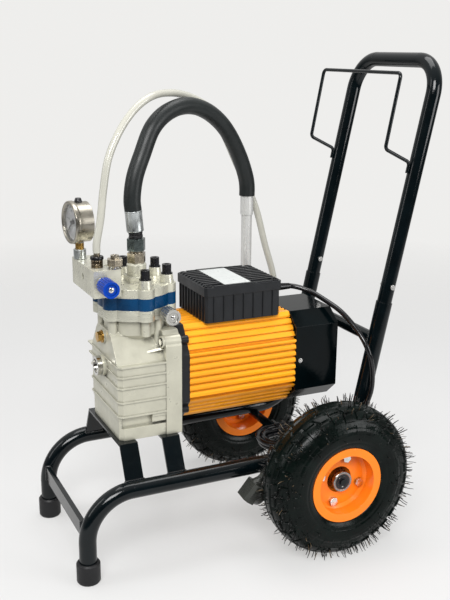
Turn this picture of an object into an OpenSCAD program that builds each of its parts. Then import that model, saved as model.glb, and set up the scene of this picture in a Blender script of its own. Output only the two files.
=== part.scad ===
// Airless paint sprayer: a diaphragm pump with an electric motor on a two-wheeled tube cart.
// X runs from the feet to the handle, the operator's left is -Y, and Z is up, all in millimetres.

/* [Wheels] */
// Diameter of a wheel over its tyre
tyre_d = 260; // [250:1:264]
// Width of a tyre
tyre_w = 83; // [78:1:84]
// Distance between the two wheel centres
track = 380; // [380:1:390]
// Diameter of the axle
axle_d = 16; // [15.5:0.1:16.2]

/* [Cart] */
// Distance between the centre lines of the two side tubes
frame_w = 238; // [236:1:239]
// Outside diameter of a side tube
side_tube_d = 28; // [27:0.5:28]
// Distance from the axle forward to the feet
foot_reach = 408; // [406:1:412]
// Height of the level run of the side tubes
run_z = 143; // [142.5:0.1:143.5]
// Lean of the handle back from upright
handle_lean = 12; // [11.5:0.1:12.5]
// Height of the centre line of the handle bar
handle_z = 799.5; // [780:0.5:820]
// Outside diameter of the handle tube
handle_d = 25; // [24.8:0.1:25.4]

/* [Motor and pump] */
// Height of the motor's axis
motor_z = 301; // [300.5:0.1:301.5]
// Width across the motor's sides
motor_w = 150; // [148:1:152]
// Length of the finned motor housing
motor_l = 197; // [196:1:198]
// Distance from the axle forward to the pump head's axis
head_reach = 282; // [281.5:0.1:282.5]
// Radius of the circle of the six head bolts
bolt_circle_r = 54; // [53.5:0.1:54.5]
// Stroke of the hydraulic piston
stroke = 6; // [5:0.5:6]

/* [Gauge and hoses] */
// Diameter of the pressure gauge's case
gauge_d = 68; // [66:1:69]
// Outside diameter of the suction hose
suction_hose_d = 28; // [26:1:28]
// Outside diameter of the return hose
return_hose_d = 12; // [10:1:12]
// Diameter of the power cord
cord_d = 9; // [8:0.1:9.2]

/* [Hidden] */
$fn = 48;

// Cart
axle_z = tyre_d / 2;
side_y = frame_w / 2;
tube_r = side_tube_d / 2;
tube_bend_r = 76;
tube_wall = 1.5;
joint_z = 400;
lean_tan = tan(handle_lean);
lean_x = 137.8;
lean_z = 450;
// X of the leaning centre line at height z
function lean_at(z) = lean_x + (z - lean_z) * lean_tan;
joint_x = lean_at(joint_z);
handle_r = handle_d / 2;
handle_bend_r = 55;
handle_rise = (handle_z - joint_z) / cos(handle_lean);
handle_bolt_rise = 28.6;
foot_cap_r = 19;
hook_r = 3;

// The part's own origin is under the middle of its length: foot caps in front, handle bar behind
front_end = -foot_reach - foot_cap_r;
rear_end = lean_at(handle_z) + handle_r;
middle_x = (front_end + rear_end) / 2;

// Wheels, with z outward from a wheel's middle
tyre_rc = axle_z - 39.5;
tyre_square = 2.4;
tyre_wall = 7.5;
tread_groove = 2.6;
tread_slots = 17;
bead_y = 32.4;
rim_bolt_r = 38.5;
rim_bolt_turn = 73;
hub_in = -44;
hub_out = 20;
hub_r = 17;
// Radius of the opening round the hub, of the bead seat and of the rim's flange
eye_r = 22.5;
drum_r = 53.4;
flange_r = 64.5;
bearing_r = 14;
bearing_w = 8;
journal_r = 5.95;

// Motor
front_plate_x = -229;
plate_l = 14;
housing_x = front_plate_x + plate_l;
rear_x = housing_x + motor_l;
cover_l = 82;
motor_half = motor_w / 2;
motor_top = 80;
stator_r = 62;
motor_bearing_r = 23.5;
air_gap_r = 33;
rotor_r = 32.5;
fin_pitch = 82 / 7;
corner_groove = 41;

// Box on the motor
box_x = [-182, -41];
box_y = 61;
box_z = [381, 426, 444];
switch_at = [-110, 403];
gland_z = 413;
gland_hole_r = 8;

// Gear case and pump head
case_x = -337;
flange_x = -256;
case_bottom = 206;
neck_z = 398;
plate_z = 416;
head_z = 436;
washer_z = 464;
block_x = [-367, -323];
block_y = 58;
block_z = [443, 486];
piston_r = 14;
eccentric_r = 28;
prime_axis = [-353, 466];
pressure_axis = [-250, 408.5];
return_port = [-352, -29];
outlet_port = [-329, -47.5];
gauge_port = [-359, 40];
gauge_z = 546;
gauge_turn = 5;
gauge_r = gauge_d / 2;

// Routes of the hoses and the cord, as points on their centre lines
inlet_x = -277;
coupling_z = 520.5;
coupling_l = 45.5;
coupling_lean = -5;
suction_route = [[-281, 0, 565.8], [-282.4, 0, 581.8], [-277, 2, 616], [-262, 7, 652], [-240, 15, 694],
    [-211, 26, 716], [-172, 40, 725], [-132, 55, 716], [-91, 70, 688], [-56, 84, 640],
    [-36, 91, 594], [-33, 92, 576], [-33, 92, 562]];
return_route = [[-352, -29, 509], [-352, -29, 521], [-344, -27, 559], [-337, -24, 605],
    [-327, -20, 650], [-313, -15, 679], [-294, -7, 705], [-271, 1, 727], [-246, 10, 741],
    [-208, 34, 746], [-155, 66, 738], [-110, 84, 716], [-75, 104, 672], [-42, 113, 612],
    [-7, 111, 540], [16, 112, 464], [36, 114, 402], [46, 117, 338], [48, 119, 270],
    [46, 119, 215]];
cord_route = [[-16, 0, 413], [-5, 0, 413], [8, -1, 412.5], [22, -8, 410], [38, -23, 404],
    [53, -49, 393], [66, -79, 379.5], [77, -108, 358], [83, -128, 339], [88, -138.5, 319],
    [93, -140.8, 297], [96, -140.8, 273], [94.5, -140.8, 251], [88, -140.8, 232],
    [79, -140.8, 213], [66, -140.8, 194], [49, -139.5, 178], [30, -135, 167.5], [11, -125.5, 164.5],
    [-7, -114, 163.3], [-20, -105.5, 160.3], [-30, -100, 156.5]];
coil_centre = [0, -50];
coil_run = 53;
coil_out_r = 47;
coil_pitch = 10;
coil_layer = 9.6;
coil_z = 142.5;
lead_route = [[-46, -97.5, 144.5], [-56.5, -98.5, 149.5], [-66, -102, 156.5], [-74, -107.5, 162.5],
    [-81, -114.5, 166.5], [-87.5, -122, 167.5], [-93.5, -129.5, 165], [-98, -135.5, 159.5],
    [-100.8, -138.8, 152.5], [-102, -139.8, 144.5]];
relief_dir = [-0.6, 0.09, -0.8];

// Vectors
function unit(v) = v / norm(v);
// Frame at p with z along z and x along x, which are square to each other
function frame_at(p, x, z) =
    let (y = cross(z, x))
    [[x[0], y[0], z[0], p[0]], [x[1], y[1], z[1], p[1]], [x[2], y[2], z[2], p[2]], [0, 0, 0, 1]];
// Part of v square to the unit vector t, made one long
function square_to(v, t) = unit(v - t * (v * t));
// Any unit vector square to d
function any_side(d) = square_to(abs(d[1]) < 0.9 ? [0, 1, 0] : [1, 0, 0], d);

// Placing and plain shapes
module placed() {
    translate([-middle_x, 0, 0]) children();
}

module both_sides() {
    children();
    mirror([0, 1, 0]) children();
}

module block(x, y, z) {
    translate([x[0], y[0], z[0]]) cube([x[1] - x[0], y[1] - y[0], z[1] - z[0]]);
}

module rod_x(x, length, r) {
    translate([x, 0, 0]) rotate([0, 90, 0]) cylinder(h = length, r = r);
}

module rod_y(y, length, r) {
    translate([0, y, 0]) rotate([-90, 0, 0]) cylinder(h = length, r = r);
}

module rod_z(z, length, r) {
    translate([0, 0, z]) cylinder(h = length, r = r);
}

// A (Y, Z) outline drawn out along X
module along_x(x, length) {
    translate([x, 0, 0]) rotate([90, 0, 90]) linear_extrude(length) children();
}

module ring2d(r_out, r_in) {
    difference() {
        circle(r_out);
        if (r_in > 0) circle(r_in);
    }
}

// A bend that starts at the origin along +Z and turns towards +X
module tube_bend(bend, turn, r_out, r_in) {
    translate([bend, 0, 0])
        rotate([90, 0, 180])
            rotate_extrude(angle = turn) translate([bend, 0]) ring2d(r_out, r_in);
}

// How far a bend of this radius reaches along each leg of corner i
function bend_reach(path, i, bend) =
    let (turn = acos(unit(path[i] - path[i - 1]) * unit(path[i + 1] - path[i])))
    bend * tan(turn / 2);

// A thin sleeve, 1 mm long, over the place where a run meets a bend, which makes them one solid
module sleeve(place, heading, r_out, r_in) {
    skin = 0.05;
    multmatrix(frame_at(place - heading / 2, any_side(heading), heading))
        linear_extrude(1) ring2d(r_out + skin, max(0, r_in - skin));
}

// A round tube along a path of straight runs, bent at the corners
module bent_tube(path, bend, r_out, r_in = 0) {
    last = len(path) - 1;
    for (i = [0 : last - 1]) {
        run = path[i + 1] - path[i];
        start = i == 0 ? 0 : bend_reach(path, i, bend);
        end = i == last - 1 ? 0 : bend_reach(path, i + 1, bend);
        multmatrix(frame_at(path[i] + unit(run) * start, any_side(unit(run)), unit(run)))
            linear_extrude(norm(run) - start - end) ring2d(r_out, r_in);
    }
    for (i = [1 : 1 : last - 1]) {
        before = unit(path[i] - path[i - 1]);
        after = unit(path[i + 1] - path[i]);
        multmatrix(frame_at(path[i] - before * bend_reach(path, i, bend),
            square_to(after, before), before))
            tube_bend(bend, acos(before * after), r_out, r_in);
        sleeve(path[i] - before * bend_reach(path, i, bend), before, r_out, r_in);
        sleeve(path[i] + after * bend_reach(path, i, bend), after, r_out, r_in);
    }
}

// Directions along a route, its ends square to their first and last steps
function headings(path) =
    [for (i = [0 : len(path) - 1])
        unit(path[min(i + 1, len(path) - 1)] - path[max(i - 1, 0)])];
// A side direction carried along the headings without twisting
function sides_of(heads) =
    [for (i = 0, side = any_side(heads[0]); i < len(heads);
        i = i + 1, side = square_to(side, heads[min(i, len(heads) - 1)])) side];
// Length of a route
function route_length(path, i = 0) =
    i >= len(path) - 1 ? 0 : norm(path[i + 1] - path[i]) + route_length(path, i + 1);

// A flexible round hose or cord swept along its route as one closed tube of flat sides
module swept(path, d, edges) {
    heads = headings(path);
    sides = sides_of(heads);
    last = len(path) - 1;
    rings = [for (i = [0 : last], k = [0 : edges - 1])
        path[i] + d / 2 * (cos(360 * k / edges) * sides[i]
            + sin(360 * k / edges) * cross(heads[i], sides[i]))];
    skin = [for (i = [0 : last - 1], k = [0 : edges - 1])
        let (a = i * edges + k, b = i * edges + (k + 1) % edges)
        each [[a, a + edges, b], [b, a + edges, b + edges]]];
    first_cap = [[for (k = [0 : edges - 1]) k]];
    last_cap = [[for (k = [edges - 1 : -1 : 0]) last * edges + k]];
    polyhedron(rings, concat(skin, first_cap, last_cap), convexity = 10);
}

// Side frames, feet and handle
function side_path(y) =
    [[-foot_reach, y, 6], [-foot_reach, y, run_z],
        [lean_at(run_z), y, run_z], [joint_x, y, joint_z]];

module leaned(rise = 0) {
    translate([joint_x, 0, joint_z]) rotate([0, handle_lean, 0]) translate([0, 0, rise]) children();
}

module handle_bolt_holes(r) {
    leaned(handle_bolt_rise) rod_y(-side_y - 20, frame_w + 40, r);
}

module side_tube(side) {
    spigot_l = 60;
    spigot_r = handle_r - tube_wall - 0.1;
    color("#1b1c1e") placed() difference() {
        union() {
            bent_tube(side_path(side * side_y), tube_bend_r, tube_r, tube_r - tube_wall);
            leaned(-8) translate([0, side * side_y, 0]) linear_extrude(8 + spigot_l)
                ring2d(spigot_r, spigot_r - tube_wall);
            leaned(-3) translate([0, side * side_y, 0]) linear_extrude(3)
                ring2d(tube_r - 1, spigot_r - tube_wall);
        }
        translate([0, 0, axle_z]) rod_y(side * side_y - 20, 40, axle_d / 2);
        handle_bolt_holes(3.2);
    }
}

module side_tube_left() { side_tube(-1); }

module side_tube_right() { side_tube(1); }

module foot_caps() {
    color("#161616") placed() both_sides() translate([-foot_reach, side_y, 0])
        difference() {
            union() {
                cylinder(h = 3, r1 = foot_cap_r - 2, r2 = foot_cap_r);
                rod_z(3, 29, foot_cap_r);
                translate([0, 0, 32]) cylinder(h = 3, r1 = foot_cap_r, r2 = foot_cap_r - 2);
            }
            rod_z(6, 40, tube_r);
        }
}

// The solid space inside the side tubes' outer skin, which crossing pieces are coped to
module side_tube_space() {
    both_sides() bent_tube(side_path(side_y), tube_bend_r, tube_r);
}

module front_brace() {
    color("#1b1c1e") placed() difference() {
        block([-foot_reach - 7, -foot_reach + 1], [-side_y, side_y], [73, 99]);
        side_tube_space();
    }
}

module cross_tube() {
    tube_z = 335;
    color("#1b1c1e") placed() difference() {
        translate([lean_at(tube_z), 0, tube_z]) rotate([90, 0, 0])
            linear_extrude(frame_w, center = true) ring2d(10, 8.5);
        side_tube_space();
    }
}

// Two strips bent to a flat-topped arch, welded down on the side tubes
module pump_saddles() {
    strip = 30;
    color("#1b1c1e") placed() difference() {
        for (x = [-340, -268]) along_x(x, strip)
            polygon([[-112, 150], [-84, 206], [84, 206], [112, 150],
                [107.4, 150], [81.5, 202], [-81.5, 202], [-107.4, 150]]);
        side_tube_space();
        foot_bolt_places() translate([0, 0, 190]) cylinder(h = 30, r = 4.5);
    }
}

// Where the gear case is bolted down on the saddles
module foot_bolt_places() {
    for (x = [-325, -253], y = [-50, 50]) translate([x, y, 0]) children();
}

module axle() {
    shoulder = track / 2 + hub_in - 0.3;
    journal = track / 2 + hub_out + 4;
    groove = track / 2 + hub_out + 0.3;
    color("#b9bcc0") placed() translate([0, 0, axle_z]) difference() {
        union() {
            rod_y(-shoulder, 2 * shoulder, axle_d / 2);
            rod_y(-journal, 2 * journal, journal_r);
        }
        both_sides() difference() {
            rod_y(groove, 1.1, 8);
            rod_y(groove - 1, 4, journal_r - 0.45);
        }
    }
}

module axle_clips() {
    groove = track / 2 + hub_out + 0.3;
    color("#2a2b2d") placed() translate([0, 0, axle_z]) both_sides() difference() {
        rod_y(groove, 1, 9.5);
        rod_y(groove - 1, 3, journal_r - 0.45);
        block([-2, 2], [groove - 1, groove + 3], [-12, 0]);
    }
}

module handle() {
    wall = tube_wall;
    top = handle_rise;
    color("#1b1c1e") placed() difference() {
        leaned() bent_tube([[0, -side_y, 0], [0, -side_y, top], [0, side_y, top], [0, side_y, 0]],
            handle_bend_r, handle_r, handle_r - wall);
        handle_bolt_holes(3.2);
    }
}

module handle_bolts() {
    head_r = 4.5;
    nut_r = 5.2;
    color("#c9cbce") placed() leaned(handle_bolt_rise) for (side = [-1, 1])
        translate([0, side * side_y, 0]) {
            difference() {
                union() {
                    rod_y(-handle_r - 2.5, 2 * handle_r + 7, 2.8);
                    rod_y(-handle_r - 2.5, 6, head_r);
                }
                rod_z(-20, 40, handle_r);
            }
            rod_y(-handle_r, 2 * handle_r, 2.8);
            difference() {
                translate([0, handle_r - 2.5, 0]) rotate([-90, 0, 0]) cylinder(h = 6, r = nut_r, $fn = 6);
                rod_z(-20, 40, handle_r);
                rod_y(0, 40, 2.8);
            }
        }
}

// Wire bow welded along the front of the handle, with a short tail down each leg
module hose_hook() {
    tail = leaned_point(-handle_r - hook_r, 220);
    root = leaned_point(-handle_r - hook_r, 238);
    color("#1b1c1e") placed() bent_tube([[tail[0], -side_y, tail[1]], [root[0], -side_y, root[1]],
        [112, -side_y, 660], [135, -side_y, 780], [135, side_y, 780],
        [112, side_y, 660], [root[0], side_y, root[1]], [tail[0], side_y, tail[1]]], 8, hook_r);
}

// X and Z of a point in the leaning frame of the handle
function leaned_point(x, rise) =
    [joint_x + x * cos(handle_lean) + rise * sin(handle_lean),
        joint_z - x * sin(handle_lean) + rise * cos(handle_lean)];

// Wheels
module at_wheel(side) {
    translate([0, side * track / 2, axle_z]) rotate([-90 * side, 0, 0]) children();
}

function tyre_point(t, a, b) =
    [tyre_rc + a * sign(cos(t)) * pow(abs(cos(t)), 2 / tyre_square),
        b * sign(sin(t)) * pow(abs(sin(t)), 2 / tyre_square)];

// Section of one cross slot of the tread, from its floor outwards
module slot_section() {
    a = axle_z - tyre_rc - tread_groove;
    b = tyre_w / 2 - tread_groove;
    lowest = tyre_point(68, a, b);
    floor_line = [for (t = [20 : 8 : 68]) tyre_point(t, a, b)];
    polygon(concat(floor_line, [[lowest[0], tyre_w], [axle_z + 5, tyre_w],
        [axle_z + 5, floor_line[0][1]]]));
}

// Cross slots of the tread on one side of its middle
module tread_slots_of(phase) {
    slot_turn = 2.6;
    for (i = [0 : tread_slots - 1]) rotate([0, 0, (i + phase) * 360 / tread_slots - slot_turn / 2])
        rotate_extrude(angle = slot_turn) slot_section();
}

module tyre_section() {
    a = axle_z - tyre_rc;
    b = tyre_w / 2;
    outside = [for (i = [-11 : 11]) tyre_point(i * 11.45, a, b)];
    inside = [for (i = [8 : -1 : -8]) tyre_point(i * 15.6, a - tyre_wall, b - tyre_wall)];
    bead_r = drum_r + 0.1;
    lip_r = flange_r + 0.1;
    polygon(concat(outside, [[lip_r, bead_y], [bead_r, bead_y], [bead_r, 22]], inside,
        [[bead_r, -22], [bead_r, -bead_y], [lip_r, -bead_y]]));
}

module tyre(side) {
    centre_groove_y = 9;
    groove_w = 4;
    color("#202020") placed() at_wheel(side) difference() {
        rotate_extrude() difference() {
            tyre_section();
            for (y = [-centre_groove_y, centre_groove_y]) translate([axle_z, y])
                square([2 * tread_groove, groove_w], center = true);
        }
        tread_slots_of(0);
        mirror([0, 0, 1]) tread_slots_of(0.5);
    }
}

module tyre_left() { tyre(-1); }

module tyre_right() { tyre(1); }

// Outer half of the split rim: a dished disc, a drum and a flange
module rim(side) {
    color("#f0741a") placed() at_wheel(side) difference() {
        rotate_extrude() polygon([[eye_r, 6.5], [46.5, 6.5], [drum_r, 12], [drum_r, 32.5],
            [flange_r, 32.5], [flange_r, 35], [drum_r - 2.5, 35], [drum_r - 2.5, 13],
            [45.8, 9], [eye_r, 9]]);
        rim_bolt_places() cylinder(h = 20, r = 4.2);
    }
}

module rim_left() { rim(-1); }

module rim_right() { rim(1); }

module rim_bolt_places() {
    for (a = [0 : 90 : 270]) rotate([0, 0, rim_bolt_turn + a]) translate([rim_bolt_r, 0, -10]) children();
}

// Inner half of the rim with the hub tube welded through it
module wheel_hub(side) {
    color("#f0741a") placed() at_wheel(side) difference() {
        union() {
            rotate_extrude() polygon([[eye_r, 4], [eye_r, 6.5], [46.5, 6.5], [drum_r, 1],
                [drum_r, -32.5], [flange_r, -32.5], [flange_r, -35], [drum_r - 2.5, -35],
                [drum_r - 2.5, 0], [45.8, 4]]);
            rotate_extrude() polygon([[hub_r - 1, -14], [hub_r - 1, -11], [23, 4], [30, 4],
                [30, 1.5], [24.5, 1.5], [19, -14]]);
            rod_z(hub_in, hub_out - hub_in, hub_r);
        }
        rod_z(hub_in - 1, hub_out - hub_in + 2, bearing_r - 2);
        rod_z(hub_in - 1, bearing_w + 1, bearing_r);
        rod_z(hub_out - bearing_w, bearing_w + 1, bearing_r);
        rim_bolt_places() cylinder(h = 30, r = 4.2);
    }
}

module wheel_hub_left() { wheel_hub(-1); }

module wheel_hub_right() { wheel_hub(1); }

module rim_bolts(side) {
    color("#c9cbce") placed() at_wheel(side) rim_bolt_places() {
        rod_z(5, 16, 4);
        rotate([0, 0, 30]) translate([0, 0, 19]) cylinder(h = 5.3, r = 7.5, $fn = 6);
        rotate([0, 0, 30]) translate([0, 0, 7.5]) cylinder(h = 6.5, r = 7.5, $fn = 6);
    }
}

module rim_bolts_left() { rim_bolts(-1); }

module rim_bolts_right() { rim_bolts(1); }

// A sealed ball bearing as one ring, its seals set back a little
module bearing(r_in, r_out, width) {
    difference() {
        cylinder(h = width, r = r_out);
        translate([0, 0, -1]) cylinder(h = width + 2, r = r_in);
        for (z = [-1, width - 0.5]) translate([0, 0, z]) linear_extrude(1.5)
            ring2d(r_out - 2, r_in + 2);
    }
}

module wheel_bearings(side) {
    color("#8e9195") placed() at_wheel(side) for (z = [hub_in, hub_out - bearing_w])
        translate([0, 0, z]) bearing(6, bearing_r, bearing_w);
}

module wheel_bearings_left() { wheel_bearings(-1); }

module wheel_bearings_right() { wheel_bearings(1); }

// Motor
module motor_outline(side_low = -44, side_high = 36, top_w = 46) {
    polygon([[-motor_half, side_low], [-motor_half, side_high], [-top_w, motor_top],
        [top_w, motor_top], [motor_half, side_high], [motor_half, side_low],
        [top_w, -motor_top], [-top_w, -motor_top]]);
}

// A slot between two fins, cut inward from the origin against +X, its mouth wide open
module fin_slot() {
    polygon([[-5, -1.1], [-2.4, -1.1], [0, -3.9], [3, -3.9], [3, 3.9], [0, 3.9], [-2.4, 1.1], [-5, 1.1]]);
}

// Slots between the cooling fins: along the sides, the corners and the top
module fin_slots() {
    slope = 37;
    for (side = [-1, 1]) {
        for (k = [-2.5 : 1 : 2.5]) translate([side * motor_half, k * fin_pitch])
            scale([side, 1]) fin_slot();
        for (z = [-corner_groove, corner_groove - 1]) translate([side * motor_half, z])
            square([18, 6], center = true);
        for (end = [-1, 1], k = [0.3, 0.54, 0.78])
            translate([side * (motor_half + k * (46 - motor_half)),
                end * (40 + k * (motor_top - 40))])
                scale([side, end]) rotate(slope) fin_slot();
        for (end = [-1, 1], y = [8, 20, 32]) translate([side * y, end * motor_top])
            scale([1, end]) rotate(90) fin_slot();
    }
}

module motor_housing() {
    color("#f39a1c") placed() translate([0, 0, motor_z]) along_x(housing_x, motor_l) difference() {
        motor_outline();
        fin_slots();
        circle(stator_r);
    }
}

module stator_core() {
    core_x = -175;
    core_l = 110;
    coil_l = 16;
    color("#6d6f73") placed() translate([0, 0, motor_z]) {
        along_x(core_x, core_l) ring2d(stator_r, air_gap_r);
        for (x = [core_x - coil_l, core_x + core_l]) along_x(x, coil_l) ring2d(56, 40);
    }
}

module motor_front_plate() {
    color("#1d1e20") placed() translate([0, 0, motor_z]) difference() {
        union() {
            along_x(front_plate_x, plate_l) motor_outline();
            for (y = [-64, 64], z = [-60, 60]) translate([0, y, z]) rod_x(front_plate_x, plate_l, 7);
        }
        rod_x(front_plate_x - 1, plate_l + 2, motor_bearing_r);
        along_x(front_plate_x - 1, plate_l + 2) flange_bolt_places() circle(3.1);
    }
}

module flange_bolt_places() {
    for (y = [-62, 62], z = [-60, 60]) translate([y, z]) children();
}

module motor_rear_plate() {
    color("#1d1e20") placed() translate([0, 0, motor_z]) along_x(rear_x, plate_l)
        ring2d(66, motor_bearing_r);
}

module motor_bearings() {
    color("#8e9195") placed() translate([0, 0, motor_z]) for (x = [front_plate_x, rear_x])
        translate([x, 0, 0]) rotate([0, 90, 0]) bearing(10.05, motor_bearing_r, plate_l);
}

module motor_shaft() {
    color("#c2c4c7") placed() translate([0, 0, motor_z]) {
        rod_x(-300, 330, 9);
        rod_x(front_plate_x, rear_x + plate_l - front_plate_x, 10);
    }
}

module rotor_core() {
    color("#77797d") placed() translate([0, 0, motor_z]) along_x(-175, 110) ring2d(rotor_r, 10);
}

module fan() {
    fan_x = 4;
    color("#2b2c2e") placed() translate([fan_x, 0, motor_z]) difference() {
        union() {
            rod_x(0, 22, 16);
            rod_x(0, 3, 52);
            for (k = [0 : 7]) rotate([k * 45, 0, 0])
                block([0, 22], [12, 56], [-1.25, 1.25]);
        }
        rod_x(-1, 40, 9);
    }
}

module fan_cover() {
    wall = 3;
    color("#1d1e20") placed() difference() {
        translate([0, 0, motor_z]) along_x(rear_x, cover_l) motor_outline(-55, 58, 47);
        translate([0, 0, motor_z]) along_x(rear_x - 1, cover_l - wall + 1)
            offset_outline(wall);
        for (side = [-1, 1]) translate([-10, 0, motor_z - 1]) rod_y(side * 75 - 5, 10, 2.1);
        translate([0, 0, motor_z]) for (k = [-4 : 4], side = [-1, 1])
            along_x(rear_x + cover_l - wall - 1, wall + 2)
                translate([side * 27, k * 13]) square([46 - 3 * abs(k), 6], center = true);
    }
}

// The fan cover's outline drawn in by its wall
module offset_outline(wall) {
    s = (motor_half - wall) / motor_half;
    scale(s) motor_outline(-55, 58, 47);
}

module screw(head_r, head_l, shank_r, shank_l) {
    difference() {
        union() {
            cylinder(h = head_l, r = head_r);
            translate([0, 0, -shank_l]) cylinder(h = shank_l, r = shank_r);
        }
        for (a = [0, 90]) rotate([0, 0, a]) translate([-head_r * 0.55, -0.6, head_l - 1.2])
            cube([head_r * 1.1, 1.2, 3]);
    }
}

// Screws of the fan cover, the box lid and the flange between gear case and motor
module case_screws() {
    color("#b9bcc0") placed() {
        for (side = [-1, 1]) translate([-10, side * motor_half, motor_z - 1])
            rotate([-90 * side, 0, 0]) screw(4, 2.5, 2, 6);
        lid_screw_places() translate([0, 0, box_z[2] - 6]) screw(3.4, 3, 1.6, 26);
        translate([0, 0, motor_z]) rotate([90, 0, 90]) flange_bolt_places()
            translate([0, 0, flange_x]) {
                rotate([0, 0, 30]) translate([0, 0, -5.3]) cylinder(h = 5.3, r = 5.8, $fn = 6);
                cylinder(h = plate_l + 20, r = 3);
            }
    }
}

// Box with the switch on the motor
module lid_screw_places() {
    for (x = [box_x[0] + 9, box_x[1] - 9], y = [-box_y + 9, box_y - 9]) translate([x, y, 0]) children();
}

module box_plan(grow) {
    c = 4;
    x = [box_x[0] - grow, box_x[1] + grow];
    y = box_y + grow;
    polygon([[x[0] + c, -y], [x[1] - c, -y], [x[1], -y + c], [x[1], y - c], [x[1] - c, y],
        [x[0] + c, y], [x[0], y - c], [x[0], -y + c]]);
}

module box_base() {
    rib = 1.6;
    half_rocker = [7, 10.5];
    color("#232427") placed() difference() {
        union() {
            translate([0, 0, box_z[0]]) linear_extrude(box_z[1] - box_z[0]) box_plan(-2);
            for (x = [box_x[0] + 16 : 18 : box_x[1] - 12])
                block([x, x + rib], [-box_y, box_y], [box_z[0] + 2, box_z[1]]);
            for (y = [-48 : 12 : 48])
                block(box_x, [y, y + rib], [box_z[0] + 2, box_z[1]]);
            translate([switch_at[0], 0, switch_at[1]]) rod_y(box_y - 3, 5, 15);
        }
        translate([0, 0, box_z[0] + 3]) linear_extrude(60) box_plan(-5.5);
        block([switch_at[0] - half_rocker[0], switch_at[0] + half_rocker[0]], [box_y - 10, box_y + 10],
            [switch_at[1] - half_rocker[1], switch_at[1] + half_rocker[1]]);
        translate([0, 0, gland_z]) rod_x(box_x[1] - 8, 30, gland_hole_r);
        translate([0, 0, gland_z]) rod_x(box_x[1] - 2, 10, 12.7);
    }
    color("#232427") placed() difference() {
        lid_screw_places() translate([0, 0, box_z[0] + 3]) cylinder(h = box_z[1] - box_z[0] - 3, r = 4.5);
        lid_screw_places() translate([0, 0, box_z[1] - 24]) cylinder(h = 40, r = 1.6);
    }
}

// Rib along the lid, its ends sloping down to the deck
module lid_rib(y, deck) {
    rib_w = 4;
    translate([0, y + rib_w / 2, 0]) rotate([90, 0, 0]) linear_extrude(rib_w)
        polygon([[box_x[0] + 1.5, deck - 1], [box_x[0] + 1.5, deck], [box_x[0] + 5, box_z[2]],
            [box_x[1] - 5, box_z[2]], [box_x[1] - 1.5, deck], [box_x[1] - 1.5, deck - 1]]);
}

module box_lid() {
    deck = box_z[2] - 3;
    band = [-147, -96];
    color("#27282b") placed() difference() {
        union() {
            translate([0, 0, box_z[1]]) linear_extrude(deck - box_z[1]) box_plan(0);
            for (y = [-44 : 11 : 44]) lid_rib(y, deck);
            block(band, [-box_y + 1, box_y - 1], [deck - 1, box_z[2] - 0.4]);
            for (side = [-1, 1]) translate([0, side * (box_y - 3), 0])
                block([box_x[0] + 17, box_x[1] - 17], [-1.5, 1.5], [deck - 1, box_z[2] - 0.8]);
        }
        translate([0, 0, box_z[1] - 1]) linear_extrude(box_z[2] - box_z[1] - 4) box_plan(-3.5);
        lid_screw_places() cylinder(h = box_z[2], r = 6);
    }
    color("#27282b") placed() difference() {
        lid_screw_places() translate([0, 0, box_z[1]]) cylinder(h = box_z[2] - box_z[1] - 1, r = 6);
        lid_screw_places() {
            translate([0, 0, box_z[2] - 6]) cylinder(h = 10, r = 4.5);
            cylinder(h = box_z[2], r = 1.8);
        }
    }
}

module switch_rocker() {
    color("#b3201c") placed() translate([switch_at[0], box_y - 6, switch_at[1]]) rotate([12, 0, 0])
        rotate([0, 90, 0]) difference() {
            cylinder(h = 13, r = 10, center = true);
            translate([0, -12, 0]) cube([30, 24, 20], center = true);
            translate([0, 16.5, 0]) cylinder(h = 20, r = 9.5, center = true);
        }
}

module cable_gland() {
    color("#222326") placed() translate([box_x[1] - 2, 0, gland_z]) difference() {
        union() {
            rod_x(-6, 8, gland_hole_r);
            rotate([0, 90, 0]) cylinder(h = 8, r = 11.5, $fn = 6);
            rod_x(8, 12, 9);
            translate([20, 0, 0]) rotate([0, 90, 0]) cylinder(h = 7, r1 = 9, r2 = 6.5);
        }
        rod_x(-10, 12, 4.5);
    }
}

// Gear case: a cast box with ridges round it, a foot block and a neck for the head
module case_plan(grow, end) {
    c = 7;
    x = case_x + 1.5 - grow;
    y = 73.5 + grow;
    polygon([[x + c, -y], [end, -y], [end, y], [x + c, y], [x, y - c], [x, -y + c]]);
}

module bolt_places() {
    for (a = [30 : 60 : 330])
        translate([-head_reach, 0, 0]) rotate([0, 0, a]) translate([bolt_circle_r, 0, 0]) children();
}

module on_head_axis() {
    translate([-head_reach, 0, 0]) children();
}

// Small web that braces the flange on the sloping shoulder of the case
module gusset() {
    translate([0, -56, 345.6]) rotate([53.6, 0, 0]) rotate([90, 0, 0])
        linear_extrude(4, center = true)
            polygon([[flange_x - 31, -2], [flange_x + 1, -2], [flange_x + 1, 9]]);
}

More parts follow.
